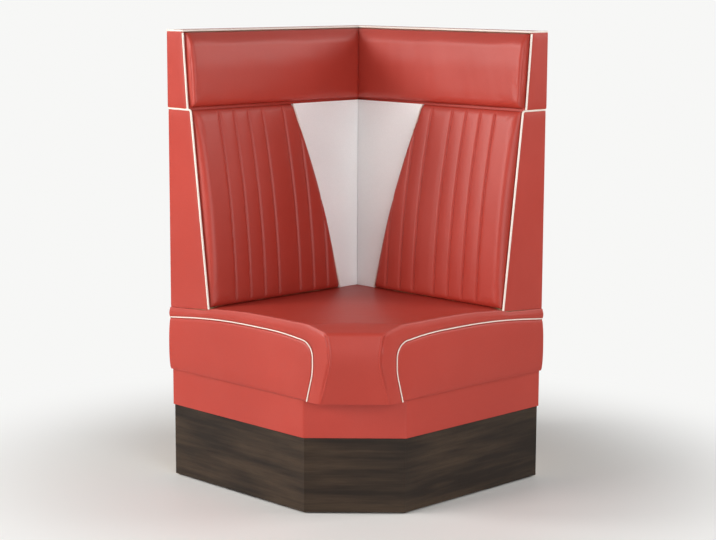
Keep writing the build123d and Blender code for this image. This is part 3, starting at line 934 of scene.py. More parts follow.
def vinyl(
    dullness: float,
    relief: float,
    colour: tuple,
    rubbed: tuple,
    scale: float = 1000.0,
    depth: float = 0.35,
) -> Finish:
    """Upholstery vinyl in one colour, with the scale and depth of its grain."""
    values = {"Colour": colour, "Rubbed Colour": rubbed, "Grain Scale": scale, "Grain Depth": depth}
    return Finish("vinyl", dullness, relief, 0.0004, values, coating(0.05, 0.38, 0.38))


def wood(
    dullness: float, relief: float, dark: tuple, light: tuple, pores: float, coat: float = 0.0
) -> Finish:
    """Wood or its laminate, light or dark."""
    values = {"Dark Colour": dark, "Light Colour": light, "Pores": pores}
    return Finish("wood", dullness, relief, 0.0003, values, coating(coat, 0.3, 0.22))


def plain(
    dullness: float, relief: float, colour: tuple, second: tuple, scale: float, metal: float = 0.0
) -> Finish:
    """Foam, moulded plastic, pressed board or plated steel."""
    values = {"Colour": colour, "Second Colour": second, "Scale": scale}
    return Finish("speckle", dullness, relief, 0.0004, values, {"Metallic": metal})


class Slot(Enum):
    """The record's material slots, each with its finish."""

    RED_VINYL = "red_vinyl"
    PALE_VINYL = "pale_vinyl"
    PALE_PIPING = "pale_piping"
    DARK_LAMINATE = "dark_laminate"
    PLYWOOD = "plywood"
    SOFTWOOD = "softwood"
    HARDBOARD = "hardboard"
    FOAM = "foam"
    NYLON = "nylon"
    ZINC_STEEL = "zinc_steel"


DARKEST_BROWN, DARK_BROWN = (0.0125, 0.0068, 0.0036), (0.046, 0.028, 0.016)
FINISHES = {
    Slot.RED_VINYL: vinyl(0.42, 0.3, (0.415, 0.038, 0.023), (0.46, 0.053, 0.035)),
    Slot.PALE_VINYL: vinyl(0.44, 0.3, (0.93, 0.925, 0.92), (0.95, 0.945, 0.94)),
    Slot.PALE_PIPING: vinyl(0.36, 0.2, (0.87, 0.78, 0.70), (0.90, 0.83, 0.76), 1500.0, 0.2),
    Slot.DARK_LAMINATE: wood(0.42, 0.25, DARKEST_BROWN, DARK_BROWN, 0.35, 0.02),
    Slot.PLYWOOD: wood(0.6, 0.3, (0.50, 0.34, 0.19), (0.62, 0.45, 0.27), 0.3),
    Slot.SOFTWOOD: wood(0.62, 0.4, (0.55, 0.38, 0.21), (0.68, 0.50, 0.30), 0.2),
    Slot.HARDBOARD: plain(0.62, 0.3, (0.20, 0.12, 0.07), (0.13, 0.075, 0.045), 900.0),
    Slot.FOAM: plain(0.9, 0.6, (0.80, 0.74, 0.55), (0.72, 0.64, 0.45), 1300.0),
    Slot.NYLON: plain(0.45, 0.2, (0.75, 0.74, 0.70), (0.66, 0.65, 0.62), 500.0),
    Slot.ZINC_STEEL: plain(0.34, 0.15, (0.62, 0.62, 0.60), (0.50, 0.50, 0.49), 400.0, 1.0),
}


def dress(piece: Piece, slot: Slot, materials: dict, *replaced: str, fill: float = 0.0) -> None:
    """Gives a new piece its finish and its place on the unit's body.

    Args:
        piece: The new piece.
        slot: Its slot in the record.
        materials: The material of each slot.
        replaced: The nodes that it replaces.
        fill: Not used; it would give how full its padding is, or 0 for a piece without padding.
    """
    if replaced:
        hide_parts(*replaced)
    piece.data.materials.append(materials[slot])
    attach(piece, "root")
    log.info("%s: %d faces, %s", piece.name, len(piece.data.polygons), slot.value)


# Seat


# How far from the cushion's end its columns of points stand, across the sewn edge.
ROLL_COLUMNS = (15, 12, 10, 8.6, 7.6, 6.9, 6.3, 5.8, 5.3)
SEAM_COLUMNS = (4.7, 4.1, 3.4, 2.7, 2.0, 1.3, 0.7, 0.25, 0)


@dataclass
class SeatCushion:
    """The padded seat cushion with its two end facings. Sizes are in millimetres."""

    reach: float = 714.0
    base_height: float = 300.0
    wall_height: float = 470.0
    ledge_depth: float = 141.0
    ledge_height: float = 479.0
    squeeze_depth: float = 149.0
    squeeze: float = 0.8
    squeeze_end: float = 12.0
    squeeze_fade: float = 30.0
    heel_depth: float = 176.0
    heel_height: float = 487.0
    crest_depth: float = 520.0
    crest_height: float = 502.0
    nose_reach: float = 947.76
    nose_top: float = 502.5
    shoulder_depth: float = 73.0
    roll_depth: float = 10.9
    roll_height: float = 483.0
    belly_height: float = 415.0
    undercut: float = 27.0
    nose_radii: tuple = (300.0, 14.0, 230.0)
    facing_corners: tuple = ((0, 443), (201, 465), (450, 465), (565, 451.5), (565, 378), (543, 300))
    facing_radii: tuple = (3200, 1000, 66, 120)
    seam_radius: float = 4.2
    seam_place: float = 5.8
    facing_bulge: float = 4.5
    band_bulge: float = 2.5
    band_rows: int = 9
    piping_stand: float = 0.5
    piping_radius: float = 1.65
    piping_gap: float = 4.2
    gap_least: float = 1.3
    gap_more: float = 1.6
    gap_start: float = 170.0
    gap_run: float = 40.0
    gathers: tuple = (9.0, 2.0, 57.0)
    gather_height: float = 0.22
    gather_reach: float = 16.0
    top_rows: int = 100
    top_columns: int = 70
    facing_rows: int = 44
    facing_roll: float = 60.0
    facing_sink: float = 0.4
    facing_thick: float = 3.2
    inside: tuple = (250.0, -250.0, 300.0)
    stitch: tuple = (6.5, 4.4, 0.42)
    thread_start: int = 30
    thread_foot: float = 18.0

    def depth_height(self, depth: np.ndarray, along: np.ndarray) -> np.ndarray:
        """Height of the top, pressed up against the back between the ends.

        Args:
            depth: Distances from the wall.
            along: Distances from the corner along that wall.

        Returns:
            One height for each pair of distances.
        """
        rise = self.crest_height - self.heel_height
        run = self.crest_depth - self.heel_depth
        sweep = (run**2 + rise**2) / (2 * rise)
        arc = self.crest_height - sweep + np.sqrt(sweep**2 - (depth - self.crest_depth) ** 2)
        places = [0, self.ledge_depth, self.heel_depth]
        heights = [self.wall_height, self.ledge_height, self.heel_height]
        ramp = np.interp(depth, places, heights)
        places.insert(2, self.squeeze_depth)
        heights.insert(2, self.heel_height - self.squeeze)
        pressed = np.interp(depth, places, heights)
        share = clipped((self.reach - along - self.squeeze_end) / self.squeeze_fade)
        return np.where(depth > self.heel_depth, arc, ramp * (1 - share) + pressed * share)

    def lowest(self, across: np.ndarray, depth: np.ndarray, level: float) -> np.ndarray:
        """Height of the top under both walls' slopes and a level, eased where they meet."""
        slopes = (self.depth_height(depth, across), self.depth_height(across, depth))
        return smooth_lowest(smooth_lowest(*slopes, 3.0), np.full_like(across, level), 1.0)

    def nose_line(self) -> np.ndarray:
        """The nose's section, from the end of the flat top to the nose's foot.

        Returns:
            Pairs of distance from the corner and height.
        """
        corners = [
            (0, self.nose_top),
            (self.nose_reach - self.shoulder_depth, self.nose_top),
            (self.nose_reach - self.roll_depth, self.roll_height),
            (self.nose_reach, self.belly_height),
            (self.nose_reach - self.undercut, self.base_height),
        ]
        line = rounded_line(corners, self.nose_radii, 3.0)
        return line[int(np.argmax(line[:, 1] < self.nose_top - 1e-6)) - 1 :]

    def facing_line(self) -> np.ndarray:
        """The line of an end's piping, as pairs of distance from the wall and height."""
        return rounded_line(self.facing_corners, self.facing_radii, 2.0)

    def gap_depth(self, depth: np.ndarray) -> np.ndarray:
        """How deep the groove round the facing goes, less over the ledger near the wall."""
        return -self.gap_least - self.gap_more * clipped((depth - self.gap_start) / self.gap_run)

    def inset_line(self) -> np.ndarray:
        """The facing's own edge, a small gap inside its piping.

        Returns:
            Pairs of distance from the wall and height.
        """
        line = self.facing_line()[::2]
        inset = line + self.piping_gap * sideways(line)
        inset[0, 0] = 0.0
        inset[-1, 1] = self.base_height + 0.5
        return inset

    def columns(self, inner: float) -> np.ndarray:
        """Places across the cushion, close together near the sewn edge.

        Args:
            inner: Where the row starts, on the corner's diagonal.

        Returns:
            Distances from the corner, up to the cushion's end.
        """
        near = self.reach - np.array(ROLL_COLUMNS + SEAM_COLUMNS)
        rest = inner + (near[0] - inner) * np.linspace(0, 1, self.top_columns)[:-1]
        return np.concatenate([rest, near])

    def top_sheet(self) -> np.ndarray:
        """The right half of the cushion's top and nose, before its seams are drawn in.

        Returns:
            Points by row, from the corner to the nose's foot, and column.
        """
        nose = self.nose_line()
        start = nose[0, 0]
        rows = []
        for share in np.linspace(0, 1, self.top_rows)[:-1]:
            inner = start * share * HALF_ROOT
            across = self.columns(inner)
            mix = (across - inner) / (self.reach - inner)
            depth = inner * (1 - mix) + (start / HALF_ROOT - self.reach) * share * mix
            rows.append(wing_points(across, depth, self.lowest(across, depth, self.nose_top)))
        for reach, level in nose:
            across = self.columns(reach * HALF_ROOT)
            depth = reach / HALF_ROOT - across
            height = self.lowest(across, depth, level) if level > self.roll_height else level
            rows.append(wing_points(across, depth, height))
        return np.array(rows)

    def sewn(self, sheet: np.ndarray) -> np.ndarray:
        """Draws in the sewn edge, its seam and the cover's soft creasing.

        Args:
            sheet: The top and nose before that.

        Returns:
            The sheet with its seams.
        """
        normal = surface_normals(sheet)
        normal[normal[..., 2] < -0.9] *= -1
        outward = turned_to(normal, sheet - np.array(self.inside))
        distance = self.reach - sheet[..., 0]
        above = sheet[..., 2] - self.base_height
        fall = quarter_drop(distance, self.seam_radius) * np.clip((above - 8.0) / 30.0, 0.2, 1)
        lift = 0.9 * ridge(distance, 2.4, 1.4) - 0.2 * ridge(distance, self.seam_place, 1.2)
        steps = np.diff(sheet[:, -1], axis=0, prepend=sheet[:1, -1])
        along = np.cumsum(np.linalg.norm(steps, axis=-1))
        wave = gathered(along, *self.gathers)[:, None]
        swell = 0.9 * clipped(distance / 60.0) * ripple(sheet, 170.0, 3)
        pucker = self.gather_height * (wave * np.exp(-distance / self.gather_reach))
        lift = lift + pucker + swell + 0.25 * ripple(sheet, 46.0, 4)
        return sheet + outward * (lift * clipped(above / 12.0) - fall)[..., None]

    def build_half(self, shell: Shell) -> None:
        """Adds the right half's sheets and closes it at the wall and underneath.

        Args:
            shell: The shell that takes them.
        """
        sheet = self.sewn(self.top_sheet())
        sheet[:, 0, 1] = -sheet[:, 0, 0]
        sheet[0, :, 1] = 0
        sheet[-1, :, 2] = self.base_height
        sheet[:, -1, 0] = self.reach
        shell.sheet(sheet)
        border = sheet[:, -1]
        steps = np.linalg.norm(np.diff(border, axis=0, prepend=border[:1]), axis=-1)
        inner = resampled(self.facing_line(), np.cumsum(steps) / np.sum(steps))
        piping = wing_points(self.reach, inner[:, 0], inner[:, 1])
        band = blended(border, piping, self.band_rows)
        band[..., 0] += self.band_bulge * np.sin(np.linspace(0, math.pi, self.band_rows))[:, None]
        band[-1, :, 0] = piping[:, 0] + self.gap_depth(inner[:, 0])
        shell.sheet(band)
        depth = np.linspace(0, inner[-1, 0], len(inner))
        foot = wing_points(self.reach + self.gap_depth(depth), depth, self.base_height)
        foot[-1] = band[-1, -1]
        shell.sheet(np.stack([band[-1], foot]))
        wall = np.repeat(sheet[:1], len(band) + 1, axis=0)
        wall[1:-1, :, 2] = band[1:, :1, 2]
        wall[-1, :, 2] = self.base_height
        wall[1:, :, 0] *= foot[0, 0] / self.reach
        wall[1:-1, -1] = band[1:, 0]
        wall[-1, -1] = foot[0]
        shell.sheet(wall)
        shell.loop(np.concatenate([wall[-1], foot[1:], band[-2::-1, -1], sheet[-1, -2::-1]]))

    def cushion(self) -> Shell:
        """Draws the whole cushion as one closed piece.

        Returns:
            Its shell.
        """
        half, whole = Shell(), Shell()
        self.build_half(half)
        twins = [tuple(index + half.count for index in face[::-1]) for face in half.faces]
        whole.points = half.points + [twin(points) for points in half.points]
        whole.faces = half.faces + twins
        return whole

    def piping(self) -> Shell:
        """Draws the piping round one end facing.

        Returns:
            Its shell.
        """
        depth, height = self.facing_line().T
        path = wing_points(self.reach + self.piping_stand, depth, height)
        return tube(Shell(), path, self.piping_radius)

    def thread(self) -> Shell:
        """Draws the stitches beside one sewn edge.

        Returns:
            Their shell.
        """
        sheet = self.sewn(self.top_sheet())
        place = int(np.argmin(np.abs(self.reach - sheet[60, :, 0] - self.seam_place)))
        path = sheet[self.thread_start :, place]
        above = path[:, 2] > self.base_height + self.thread_foot
        return stitches(path[above], *self.stitch)

    def facing(self) -> Shell:
        """Draws one end facing, a softly padded panel inside the piping.

        Returns:
            Its shell.
        """
        line = self.inset_line()
        level = np.full(len(line), line[-1, 1])
        foot = np.stack([np.linspace(0, line[-1, 0] - 2, len(line)), level], axis=-1)
        share = np.linspace(0, 1, self.facing_rows)[:, None, None] ** 1.25
        plan = line[None] * (1 - share) + foot[None] * share
        distance = distance_to(plan, np.concatenate([line, foot[::-1]]))
        rise = self.facing_bulge * (1 - clipped(1 - distance / self.facing_roll) ** 2.6)
        rise -= 1.6 * np.exp(-distance / 1.6)
        front = wing_points(self.reach - self.facing_sink + rise, plan[..., 0], plan[..., 1])
        front[..., 0] += 0.35 * ripple(front, 120.0, 8) * clipped(distance / 40)
        back = wing_points(self.reach - self.facing_thick, plan[..., 0], plan[..., 1])
        return Shell().slab(front, back)

    def make(self, materials: dict) -> None:
        """Builds and dresses the seat.

        Args:
            materials: The material of each slot.
        """
        cushion = self.cushion().build("seat_cushion")
        dress(cushion, Slot.RED_VINYL, materials, "seat_cover", "seat_foam", fill=0.85)
        for side in Side:
            word = side.value
            facing = self.facing().build(f"seat_end_{word}", side)
            dress(facing, Slot.RED_VINYL, materials, f"seat_facing_{word}", fill=0.8)
            piping = self.piping().build(f"seat_welt_{word}", side)
            dress(piping, Slot.PALE_PIPING, materials, f"seat_piping_{word}")
            thread = self.thread().build(f"seat_stitches_{word}", side)
            dress(thread, Slot.RED_VINYL, materials)


# Lower backs


@dataclass
class LowerBack:
    """One wing's fluted pad and pale inlay, on the sloping front. Sizes are in millimetres."""

    foot_depth: float = 156.0
    foot_height: float = 487.0
    top_depth: float = 90.0
    seam_height: float = 1008.0
    pad_end: float = 702.0
    proud: float = 26.0
    crown: float = 15.0
    board: float = -6.0
    grooves: tuple = (621, 570, 519, 468, 392, 341, 290, 239)
    groove_depth: float = 3.2
    groove_width: float = 9.0
    groove_fade: float = 16.0
    stitch_width: float = 1.6
    gathers: tuple = (6.5, 2.2, 41.0)
    gather_height: float = 0.12
    gather_reach: float = 6.0
    creases: tuple = ((0.55, 210.0, 11), (0.1, 45.0, 12))
    slant_foot: float = 229.5
    slant_top: float = 349.0
    slant_bow: float = 10.0
    flute_lean: float = 10.0
    bead: float = 3.2
    bead_proud: float = 2.6
    bead_radius: float = 2.2
    tuck: float = 2.4
    rolls: tuple = (20.0, 18.0, 14.0, 17.0)
    pad_shares: tuple = (0.045, 0.05)
    inlay_rise: float = 1.6
    inlay_sink: float = 2.0
    inlay_board: float = -7.5
    inlay_rolls: tuple = (5.0, 7.0)
    inlay_rows: tuple = (6.0, 6.0, 9.0)
    inlay_columns: tuple = (0.06, 0.06, 0.04)
    edge_gap: float = 0.9
    slant_gap: float = 1.2
    held_groove: float = 3.4
    held_edge: float = 3.0
    free_start: float = 2.0
    free_run: float = 7.0
    coarse: tuple = (11.7, 0.0135)
    pressure: float = 14.0
    most: float = 1.2

    def __post_init__(self) -> None:
        """Works out the slope's lean in radians and its length."""
        rise = self.seam_height - self.foot_height
        self.lean = math.atan((self.foot_depth - self.top_depth) / rise)
        self.length = rise / math.cos(self.lean)

    def on_slope(self, along: np.ndarray, up: np.ndarray, proud: Numbers) -> np.ndarray:
        """Points given along the wing, up the slope and proud of it.

        Args:
            along: Distances along the wing.
            up: Distances up the slope.
            proud: Distances proud of the slope.

        Returns:
            The points.
        """
        sine, cosine = math.sin(self.lean), math.cos(self.lean)
        depth = self.foot_depth - up * sine + proud * cosine
        return wing_points(along, depth, self.foot_height + up * cosine + proud * sine)

    def slant(self, up: np.ndarray, grow: float) -> np.ndarray:
        """Where the pad's slanting edge stands, or a line beside it.

        Args:
            up: Distances up the slope.
            grow: How far the line lies towards the corner.

        Returns:
            Distances along the wing.
        """
        foot, top = np.array([self.slant_foot, 0.0]), np.array([self.slant_top, self.length])
        chord = top - foot
        size = np.linalg.norm(chord)
        radius = (size**2 / 4 + self.slant_bow**2) / (2 * self.slant_bow)
        across = np.array([chord[1], -chord[0]]) / size
        centre = (foot + top) / 2 + across * (radius - self.slant_bow)
        return centre[0] - np.sqrt((radius + grow) ** 2 - (up - centre[1]) ** 2)

    def places(self, length: float, first: float, last: float, step: float) -> np.ndarray:
        """Places a step apart along a length, closer together inside its two rolled ends."""
        return spaced(length, first, last, max(2, int((length - first - last) / step)))

    def from_groove(self, along: np.ndarray, up: np.ndarray, place: float) -> np.ndarray:
        """How far points stand from a groove, which leans towards the corner at its foot."""
        share = (self.pad_end - place) / (self.pad_end - self.grooves[-1])
        return along - place + self.flute_lean * share * (1 - up / self.length)

    def pad(self, name: str, row: float = 4.5, column: float = 0.0034) -> Piece:
        """Builds the right wing's fluted pad, crowned from foot to top, with rolled edges.

        Args:
            name: The pad's name.
            row: The distance between its rows of points.
            column: The share of its width between its columns of points.

        Returns:
            The new object.
        """
        end_roll, top_roll, foot_roll, slant_roll = self.rolls
        low, high = self.edge_gap, self.length - self.edge_gap
        up = low + self.places(high - low, foot_roll, top_roll, row)
        start = self.slant(up, -self.slant_gap)
        along = spans(start, self.pad_end, self.places(1.0, *self.pad_shares, column))
        rise = np.broadcast_to(up[:, None], along.shape)
        half = self.length / 2
        shape = rolled(along - start[:, None], slant_roll) * rolled(self.pad_end - along, end_roll)
        shape = shape * rolled(rise - low, foot_roll) * rolled(high - rise, top_roll)
        proud = (self.proud - self.crown * ((rise - half) / half) ** 2) * shape
        points = self.on_slope(along, rise, proud)
        fade = clipped(np.minimum(rise - low, high - rise) / self.groove_fade) ** 0.5 * shape
        for index, place in enumerate(self.grooves):
            away = np.abs(self.from_groove(along, rise, place))
            lip = clipped(1 - away / self.groove_width) ** 2.2 * self.groove_depth
            wave = gathered(rise, *self.gathers, index)
            pucker = self.gather_height * np.exp(-away / self.gather_reach) * wave
            proud = proud - (lip + ridge(away, 0.0, self.stitch_width) + pucker) * fade
        proud = proud + creased(points, self.creases) * shape
        front, back = (self.on_slope(along, rise, stand) for stand in (proud, self.board))
        return Shell().box(front, back).build(name, crease=60.0)

    def inlay(self) -> Shell:
        """Draws the pale inlay, drawn tight over its board and tucked in at its edges.

        Returns:
            Its shell.
        """
        up = self.places(self.length, *self.inlay_rows)
        start = self.foot_depth - up * math.sin(self.lean)
        stop = self.slant(up, self.tuck)
        along = spans(start, stop, self.places(1.0, *self.inlay_columns))
        rise = np.broadcast_to(up[:, None], along.shape)
        inner_roll, outer_roll = self.inlay_rolls
        shape = rolled(along - start[:, None], inner_roll)
        shape = shape * rolled(stop[:, None] - along, outer_roll)
        proud = (self.inlay_sink + self.inlay_rise) * shape - self.inlay_sink
        points = self.on_slope(along, rise, proud)
        front = self.on_slope(along, rise, proud + 0.35 * ripple(points, 160.0, 21) * shape)
        front[:, 0, 1] = -front[:, 0, 0]
        return Shell().box(front, self.on_slope(along, rise, self.inlay_board))

    def piping(self) -> Shell:
        """Draws the piping between the pad and the inlay.

        Returns:
            Its shell.
        """
        up = np.linspace(0.0, self.length, 90)
        path = self.on_slope(self.slant(up, self.bead), up, self.bead_proud)
        return tube(Shell(), path, self.bead_radius)

    def on_pad(self, pad: Piece) -> tuple:
        """Finds where the pad's points stand.

        Args:
            pad: The right wing's pad, in any fineness.

        Returns:
            Each point's distance from the nearest groove, and how proud of the slope it stands.
        """
        points = corner_points(pad)
        sine, cosine = math.sin(self.lean), math.cos(self.lean)
        forward, upward = points[:, 1] + self.foot_depth, points[:, 2] - self.foot_height
        up = forward * sine + upward * cosine
        away = [np.abs(self.from_groove(points[:, 0], up, place)) for place in self.grooves]
        return np.min(away, axis=0), upward * sine - forward * cosine

    def held(self, pad: Piece) -> np.ndarray:
        """Which of the pad's points its stitched grooves, its rolled edges and its board hold."""
        away, proud = self.on_pad(pad)
        return (away < self.held_groove) | (proud < self.held_edge)

    def free(self, pad: Piece) -> np.ndarray:
        """How freely each of the pad's points moves: not in a groove, and fully between them."""
        return clipped((self.on_pad(pad)[0] - self.free_start) / self.free_run)

    def make(self, materials: dict) -> None:
        """Builds and dresses both lower backs, whose right pad settles as cloth.

        Args:
            materials: The material of each slot.
        """
        right = self.pad("back_pad_right")
        cloth = self.pad("back_cloth", *self.coarse)
        settled = settle(cloth, self.held(cloth), self.pressure, self.most)
        carry(*settled, right, self.free(right))
        pads = {Side.RIGHT: right, Side.LEFT: twin_piece(right, "back_pad_left")}
        for side, pad in pads.items():
            word = side.value
            covers = (f"pad_cover_{word}", f"pad_foam_{word}")
            dress(pad, Slot.RED_VINYL, materials, *covers, fill=0.75)
            inlay = self.inlay().build(f"pale_inlay_{word}", side)
            dress(inlay, Slot.PALE_VINYL, materials, f"inlay_panel_{word}", fill=0.95)
            piping = self.piping().build(f"inlay_welt_{word}", side)
            dress(piping, Slot.PALE_PIPING, materials, f"inlay_piping_{word}")


# Heads


@dataclass
class Head:
    """One wing's padded head roll. Sizes are in millimetres."""

    seam_height: float = 1008.0
    top: float = 1216.0
    foot_depth: float = 81.0
    top_depth: float = 63.0
    reach: float = 704.0
    proud: float = 26.5
    foot_proud: float = 24.0
    back: float = -7.0
    foot: float = 1013.0
    belly: float = 1125.0
    shoulder: float = 1187.0
    shoulder_proud: float = 22.5
    brow_proud: float = 8.0
    crown: float = 1209.5
    radii: tuple = (9.0, 60.0, 400.0, 20.0)
    end_roll: float = 9.0
    end_share: float = 0.02
    end_bulge: float = 2.5
    mitre_roll: float = 0.6
    lining: tuple = ((-7.8, 1004.0), (-7.8, 1018.0), (2.0, 1018.0), (2.0, 1004.0))
    lining_reach: float = 707.0
    creases: tuple = ((1.1, 210.0, 31), (0.28, 52.0, 32))
    gathers: tuple = (14.0, 1.8, 83.0)
    gather_height: float = 0.35
    row: float = 3.5
    columns: int = 130
    coarse: float = 2.2
    pressure: float = 10.0
    most: float = 1.0

    def __post_init__(self) -> None:
        """Works out the front's lean in radians."""
        self.lean = math.atan((self.foot_depth - self.top_depth) / (self.top - self.seam_height))

    def depth(self, height: Numbers, proud: float) -> Numbers:
        """Distance from the wall to a plane proud of the front."""
        board = self.foot_depth - (height - self.seam_height) * math.tan(self.lean)
        return board + proud / math.cos(self.lean)

    def section(self, coarse: float) -> np.ndarray:
        """The roll's front line, from top to foot.

        Args:
            coarse: How many times wider than usual its steps are.

        Returns:
            Pairs of distance from the wall and height.
        """
        corners = (
            (self.crown, self.back),
            (self.crown, self.brow_proud),
            (self.shoulder, self.shoulder_proud),
            (self.belly, self.proud),
            (self.foot, self.foot_proud),
            (self.foot, self.back),
        )
        line = [(self.depth(height, proud), height) for height, proud in corners]
        return rounded_line(line, self.radii, self.row * coarse)

    def swelled(self, sheet: np.ndarray) -> np.ndarray:
        """Draws in the rounded end, the mitre and the cover's soft creasing.

        Args:
            sheet: The roll's plain front, by row and column.

        Returns:
            The soft front.
        """
        normal, middle = surface_normals(sheet), sheet[:, 0].mean(axis=0)
        away = sheet - middle
        away[..., 0] = 0
        outward = turned_to(normal, away)
        outward[..., 0] = 0
        along, height = sheet[..., 0], sheet[..., 2]
        end, mitre = self.reach - along, along + sheet[..., 1]
        edge = np.minimum(end, mitre)
        fall = quarter_drop(end, self.end_roll) + quarter_drop(mitre, self.mitre_roll)
        wave = gathered(along, *self.gathers)
        foot = np.exp(-np.abs(height - self.foot - 14) / 14.0)
        swell = creased(sheet, self.creases) + self.gather_height * wave * foot
        pucker = 0.35 * np.sin(height / 8.0) * np.exp(-edge / 12.0)
        free = faded_ends(len(sheet), 5)[:, None]
        lift = (swell * clipped(edge / 25) + pucker) * free - np.minimum(fall, 30.0) * free
        return sheet + outward * lift[..., None]

    def roll(self, name: str, coarse: float = 1.0) -> Piece:
        """Builds the right wing's roll from the corner's mitre to its rounded end.

        Args:
            name: The roll's name.
            coarse: How many times wider than usual its faces are.

        Returns:
            The new object.
        """
        depth, height = self.section(coarse).T
        count = int(self.columns / coarse)
        shares = spaced(1.0, self.end_share, self.end_share, count, 8)
        along = spans(depth, self.reach, shares)
        sheet = self.swelled(wing_points(along, depth[:, None], height[:, None]))
        shell = Shell()
        shell.sheet(sheet)
        shell.sheet(np.stack([sheet[0], sheet[-1]]))
        share = np.linspace(0, 1, 7)[:-1, None, None]
        for column, bulge in ((-1, self.end_bulge), (0, 0.0)):
            rim = sheet[:, column]
            rings = rim * (1 - share) + rim.mean(axis=0) * share
            rings[..., 0] += bulge * np.sin(share[..., 0] * math.pi / 2)
            shell.sheet(rings)
            shell.sheet(np.stack([rings[:, 0], rings[:, -1]]))
            shell.loop(rings[-1])
        return shell.build(name)

    def groove(self) -> Shell:
        """Draws the strip of cover that lines the groove between the roll and the pad.

        Returns:
            Its shell.
        """
        rims = []
        for proud, height in self.lining:
            depth = self.depth(height, proud)
            rims.append(wing_points(np.linspace(depth, self.lining_reach, 60), depth, height))
        shell = Shell()
        shell.sheet(np.array(rims + rims[:1]))
        shell.loop(np.array([rim[0] for rim in rims]))
        shell.loop(np.array([rim[-1] for rim in rims]))
        return shell

    def held(self, roll: Piece) -> np.ndarray:
        """Which of the roll's points its boards and the mitre hold.

        Args:
            roll: The right wing's roll, in any fineness.

        Returns:
            True for each held point.
        """
        along, away, height = corner_points(roll).T
        behind = -away < self.depth(height, 0.0) + 3.0
        return behind | (along + away < 2.0) | (height > self.crown - 1.0)

    def make(self, materials: dict) -> None:
        """Builds and dresses both head rolls, which settle as cloth, and the linings under them.

        Args:
            materials: The material of each slot.
        """
        right = self.roll("head_roll_right")
        cloth = self.roll("head_cloth", self.coarse)
        settled = settle(cloth, self.held(cloth), self.pressure, self.most)
        carry(*settled, right, np.ones(len(right.data.vertices)))
        rolls = {Side.RIGHT: right, Side.LEFT: twin_piece(right, "head_roll_left")}
        for side, roll in rolls.items():
            word = side.value
            covers = (f"head_roll_cover_{word}", f"head_foam_{word}")
            dress(roll, Slot.RED_VINYL, materials, *covers, fill=0.8)
            lining = self.groove().build(f"seam_lining_{word}", side)
            dress(lining, Slot.RED_VINYL, materials)


# Rail


@dataclass
class RailWrap:
    """The vinyl stretched round the rail, rolled at its hems. Sizes are in millimetres."""

    reach: float = 704.0
    front_start: float = 519.25
    foot: float = 200.0
    top: float = 300.0
    corner_radius: float = 5.0
    hem: float = 1.6
    thick: float = 1.4
    creases: tuple = ((0.35, 160.0, 51), (0.15, 45.0, 52))
    rows: int = 26
    column: float = 9.0

    def wrap(self) -> Shell:
        """Draws the wrap with a soft pull between its stapled hems.

        Returns:
            Its shell.
        """
        turn = [(self.reach, -self.front_start), (self.front_start, -self.reach)]
        corners = [(self.reach, 0.0), *turn, (0.0, -self.reach)]
        plan = rounded_line(corners, (self.corner_radius,) * 2, self.column)
        outward = sideways(plan)[None]
        height = self.foot + (self.top - self.foot) * eased(self.rows)
        face = wing_points(plan[:, 0], -plan[:, 1], height[:, None])
        drop = quarter_drop(height - self.foot, self.hem)[:, None]
        pull = creased(face, self.creases) - drop
        front, back = face.copy(), face.copy()
        front[..., :2] += outward * (pull * faded_ends(len(plan), 3))[..., None]
        back[..., :2] -= outward * self.thick
        return Shell().slab(front, back)

    def make(self, materials: dict) -> None:
        """Builds and dresses the wrap."""
        wrap = self.wrap().build("rail_wrap", crease=60.0)
        dress(wrap, Slot.RED_VINYL, materials, "rail_cover")


# Ends


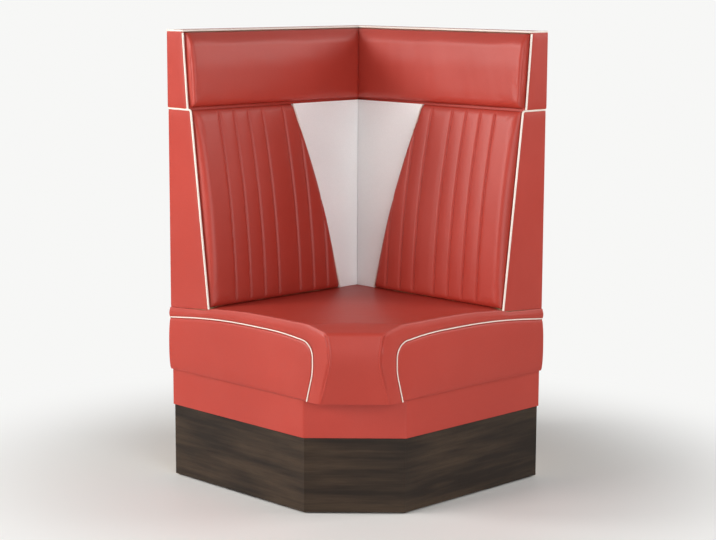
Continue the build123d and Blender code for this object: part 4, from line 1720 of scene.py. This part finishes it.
@dataclass
class EndCover:
    """The vinyl drawn over a wing's end and rolled at its front. Sizes are in millimetres."""

    name: str
    replaced: str
    outer: float
    low: float
    high: float
    foot_depth: float
    top_depth: float
    foot_rise: float
    has_top: bool
    skin: float = 1.5
    strip: float = 7.0
    strip_back: float = 5.4
    roll: float = 4.5
    swell: float = 1.3
    top_stand: float = 2.6
    edge_width: float = 26.0
    rows: int = 110
    columns: int = 56
    top_rows: int = 18
    top_columns: int = 90
    creases: tuple = ((0.4, 130.0, 61), (0.12, 34.0, 62))

    def front(self, height: Numbers) -> Numbers:
        """Distance from the wall to the cover's front at a height."""
        return np.interp(height, [self.low, self.high], [self.foot_depth, self.top_depth])

    def loop(self, height: float) -> np.ndarray:
        """The cover's closed section at a height.

        Args:
            height: The height.

        Returns:
            Pairs of x and distance from the wall.
        """
        front = float(self.front(height))
        inner, edge = self.outer - self.strip, self.outer - self.skin
        corners = [(self.outer, 0.0), (self.outer, front), (inner, front)]
        shares = np.linspace(0, 1, self.columns) ** 0.8
        face = resampled(rounded_line(corners, (self.roll,), 1.5), shares)
        behind = front - self.strip_back
        return np.concatenate([face, [(inner, behind), (edge, behind), (edge, 0.0)]])

    def end(self, shell: Shell) -> None:
        """Adds the cover's end, with its soft pull and its rolled front.

        Args:
            shell: The shell that takes it.
        """
        rows = []
        for share in eased(self.rows):
            across, depth = self.loop(self.low + (self.high - self.low) * float(share)).T
            start = self.low + self.foot_rise * depth / self.foot_depth
            rows.append(wing_points(across, depth, start + (self.high - start) * share))
        sheet = np.array(rows)
        depth, level = -sheet[..., 1], sheet[..., 2]
        sides = np.minimum(depth + 8.0, self.front(level) - depth)
        edge = np.minimum(sides, np.minimum(level - self.low + 2.0, self.high - level))
        share = 1 - clipped(1 - edge / self.edge_width) ** 2
        outside = (sheet[..., 0] > self.outer - 0.01) * share
        sheet[..., 0] += outside * (self.swell + creased(sheet, self.creases))
        shell.sheet(sheet, closed=True)
        shell.loop(sheet[0])
        shell.loop(sheet[-1][::-1])

    def top(self, shell: Shell) -> None:
        """Adds the strip of cover on the wing's top, mitred in the corner.

        Args:
            shell: The shell that takes it.
        """
        level, reach = self.high + self.top_stand, self.outer - 1.0
        depth = self.top_depth * eased(self.top_rows)
        along = spans(depth, reach, eased(self.top_columns))
        deep = np.broadcast_to(depth[:, None], along.shape)
        face = wing_points(along, deep, level)
        edge = np.minimum(self.top_depth - deep, reach - along)
        swell = 0.25 * ripple(face, 120.0, 63) * clipped(edge / 15.0)
        face[..., 2] += swell - quarter_drop(edge, 1.0)
        shell.slab(face, wing_points(along, deep, level - self.skin))

    def make(self, materials: dict) -> None:
        """Builds and dresses the cover of both wings.

        Args:
            materials: The material of each slot.
        """
        for side in Side:
            shell = Shell()
            self.end(shell)
            if self.has_top:
                self.top(shell)
            cover = shell.build(f"{self.name}_{side.value}", side, 60.0)
            dress(cover, Slot.RED_VINYL, materials, f"{self.replaced}_{side.value}")


BACK_END = EndCover("back_end", "back_cover", 709.5, 470.4, 1005.0, 155.3, 88.2, 12.0, False)
HEAD_END = EndCover("head_end", "head_cover", 712.0, 1010.9, 1213.4, 78.5, 60.9, 0.0, True)


# The whole unit


def dress_structure(materials: dict) -> None:
    """Finishes the parts that keep their own shapes, by their slots in the record.

    Args:
        materials: The material of each slot.
    """
    for row in frame["record"]["subparts"]:
        looks = frame["nodes"][row["node"]].data.materials
        looks.clear()
        looks.append(materials[Slot(row["material_slot"])])
    log.info("structure dressed")


def main() -> None:
    """Builds the unit in its order and reports each piece."""
    Studio().set_up()
    book = {name: effect() for name, effect in EFFECTS.items()}
    materials = {slot: finish.make(slot.value, book) for slot, finish in FINISHES.items()}
    dress_structure(materials)
    RailWrap().make(materials)
    SeatCushion().make(materials)
    LowerBack().make(materials)
    BACK_END.make(materials)
    Head().make(materials)
    HEAD_END.make(materials)


if __name__ == "__main__":
    main()
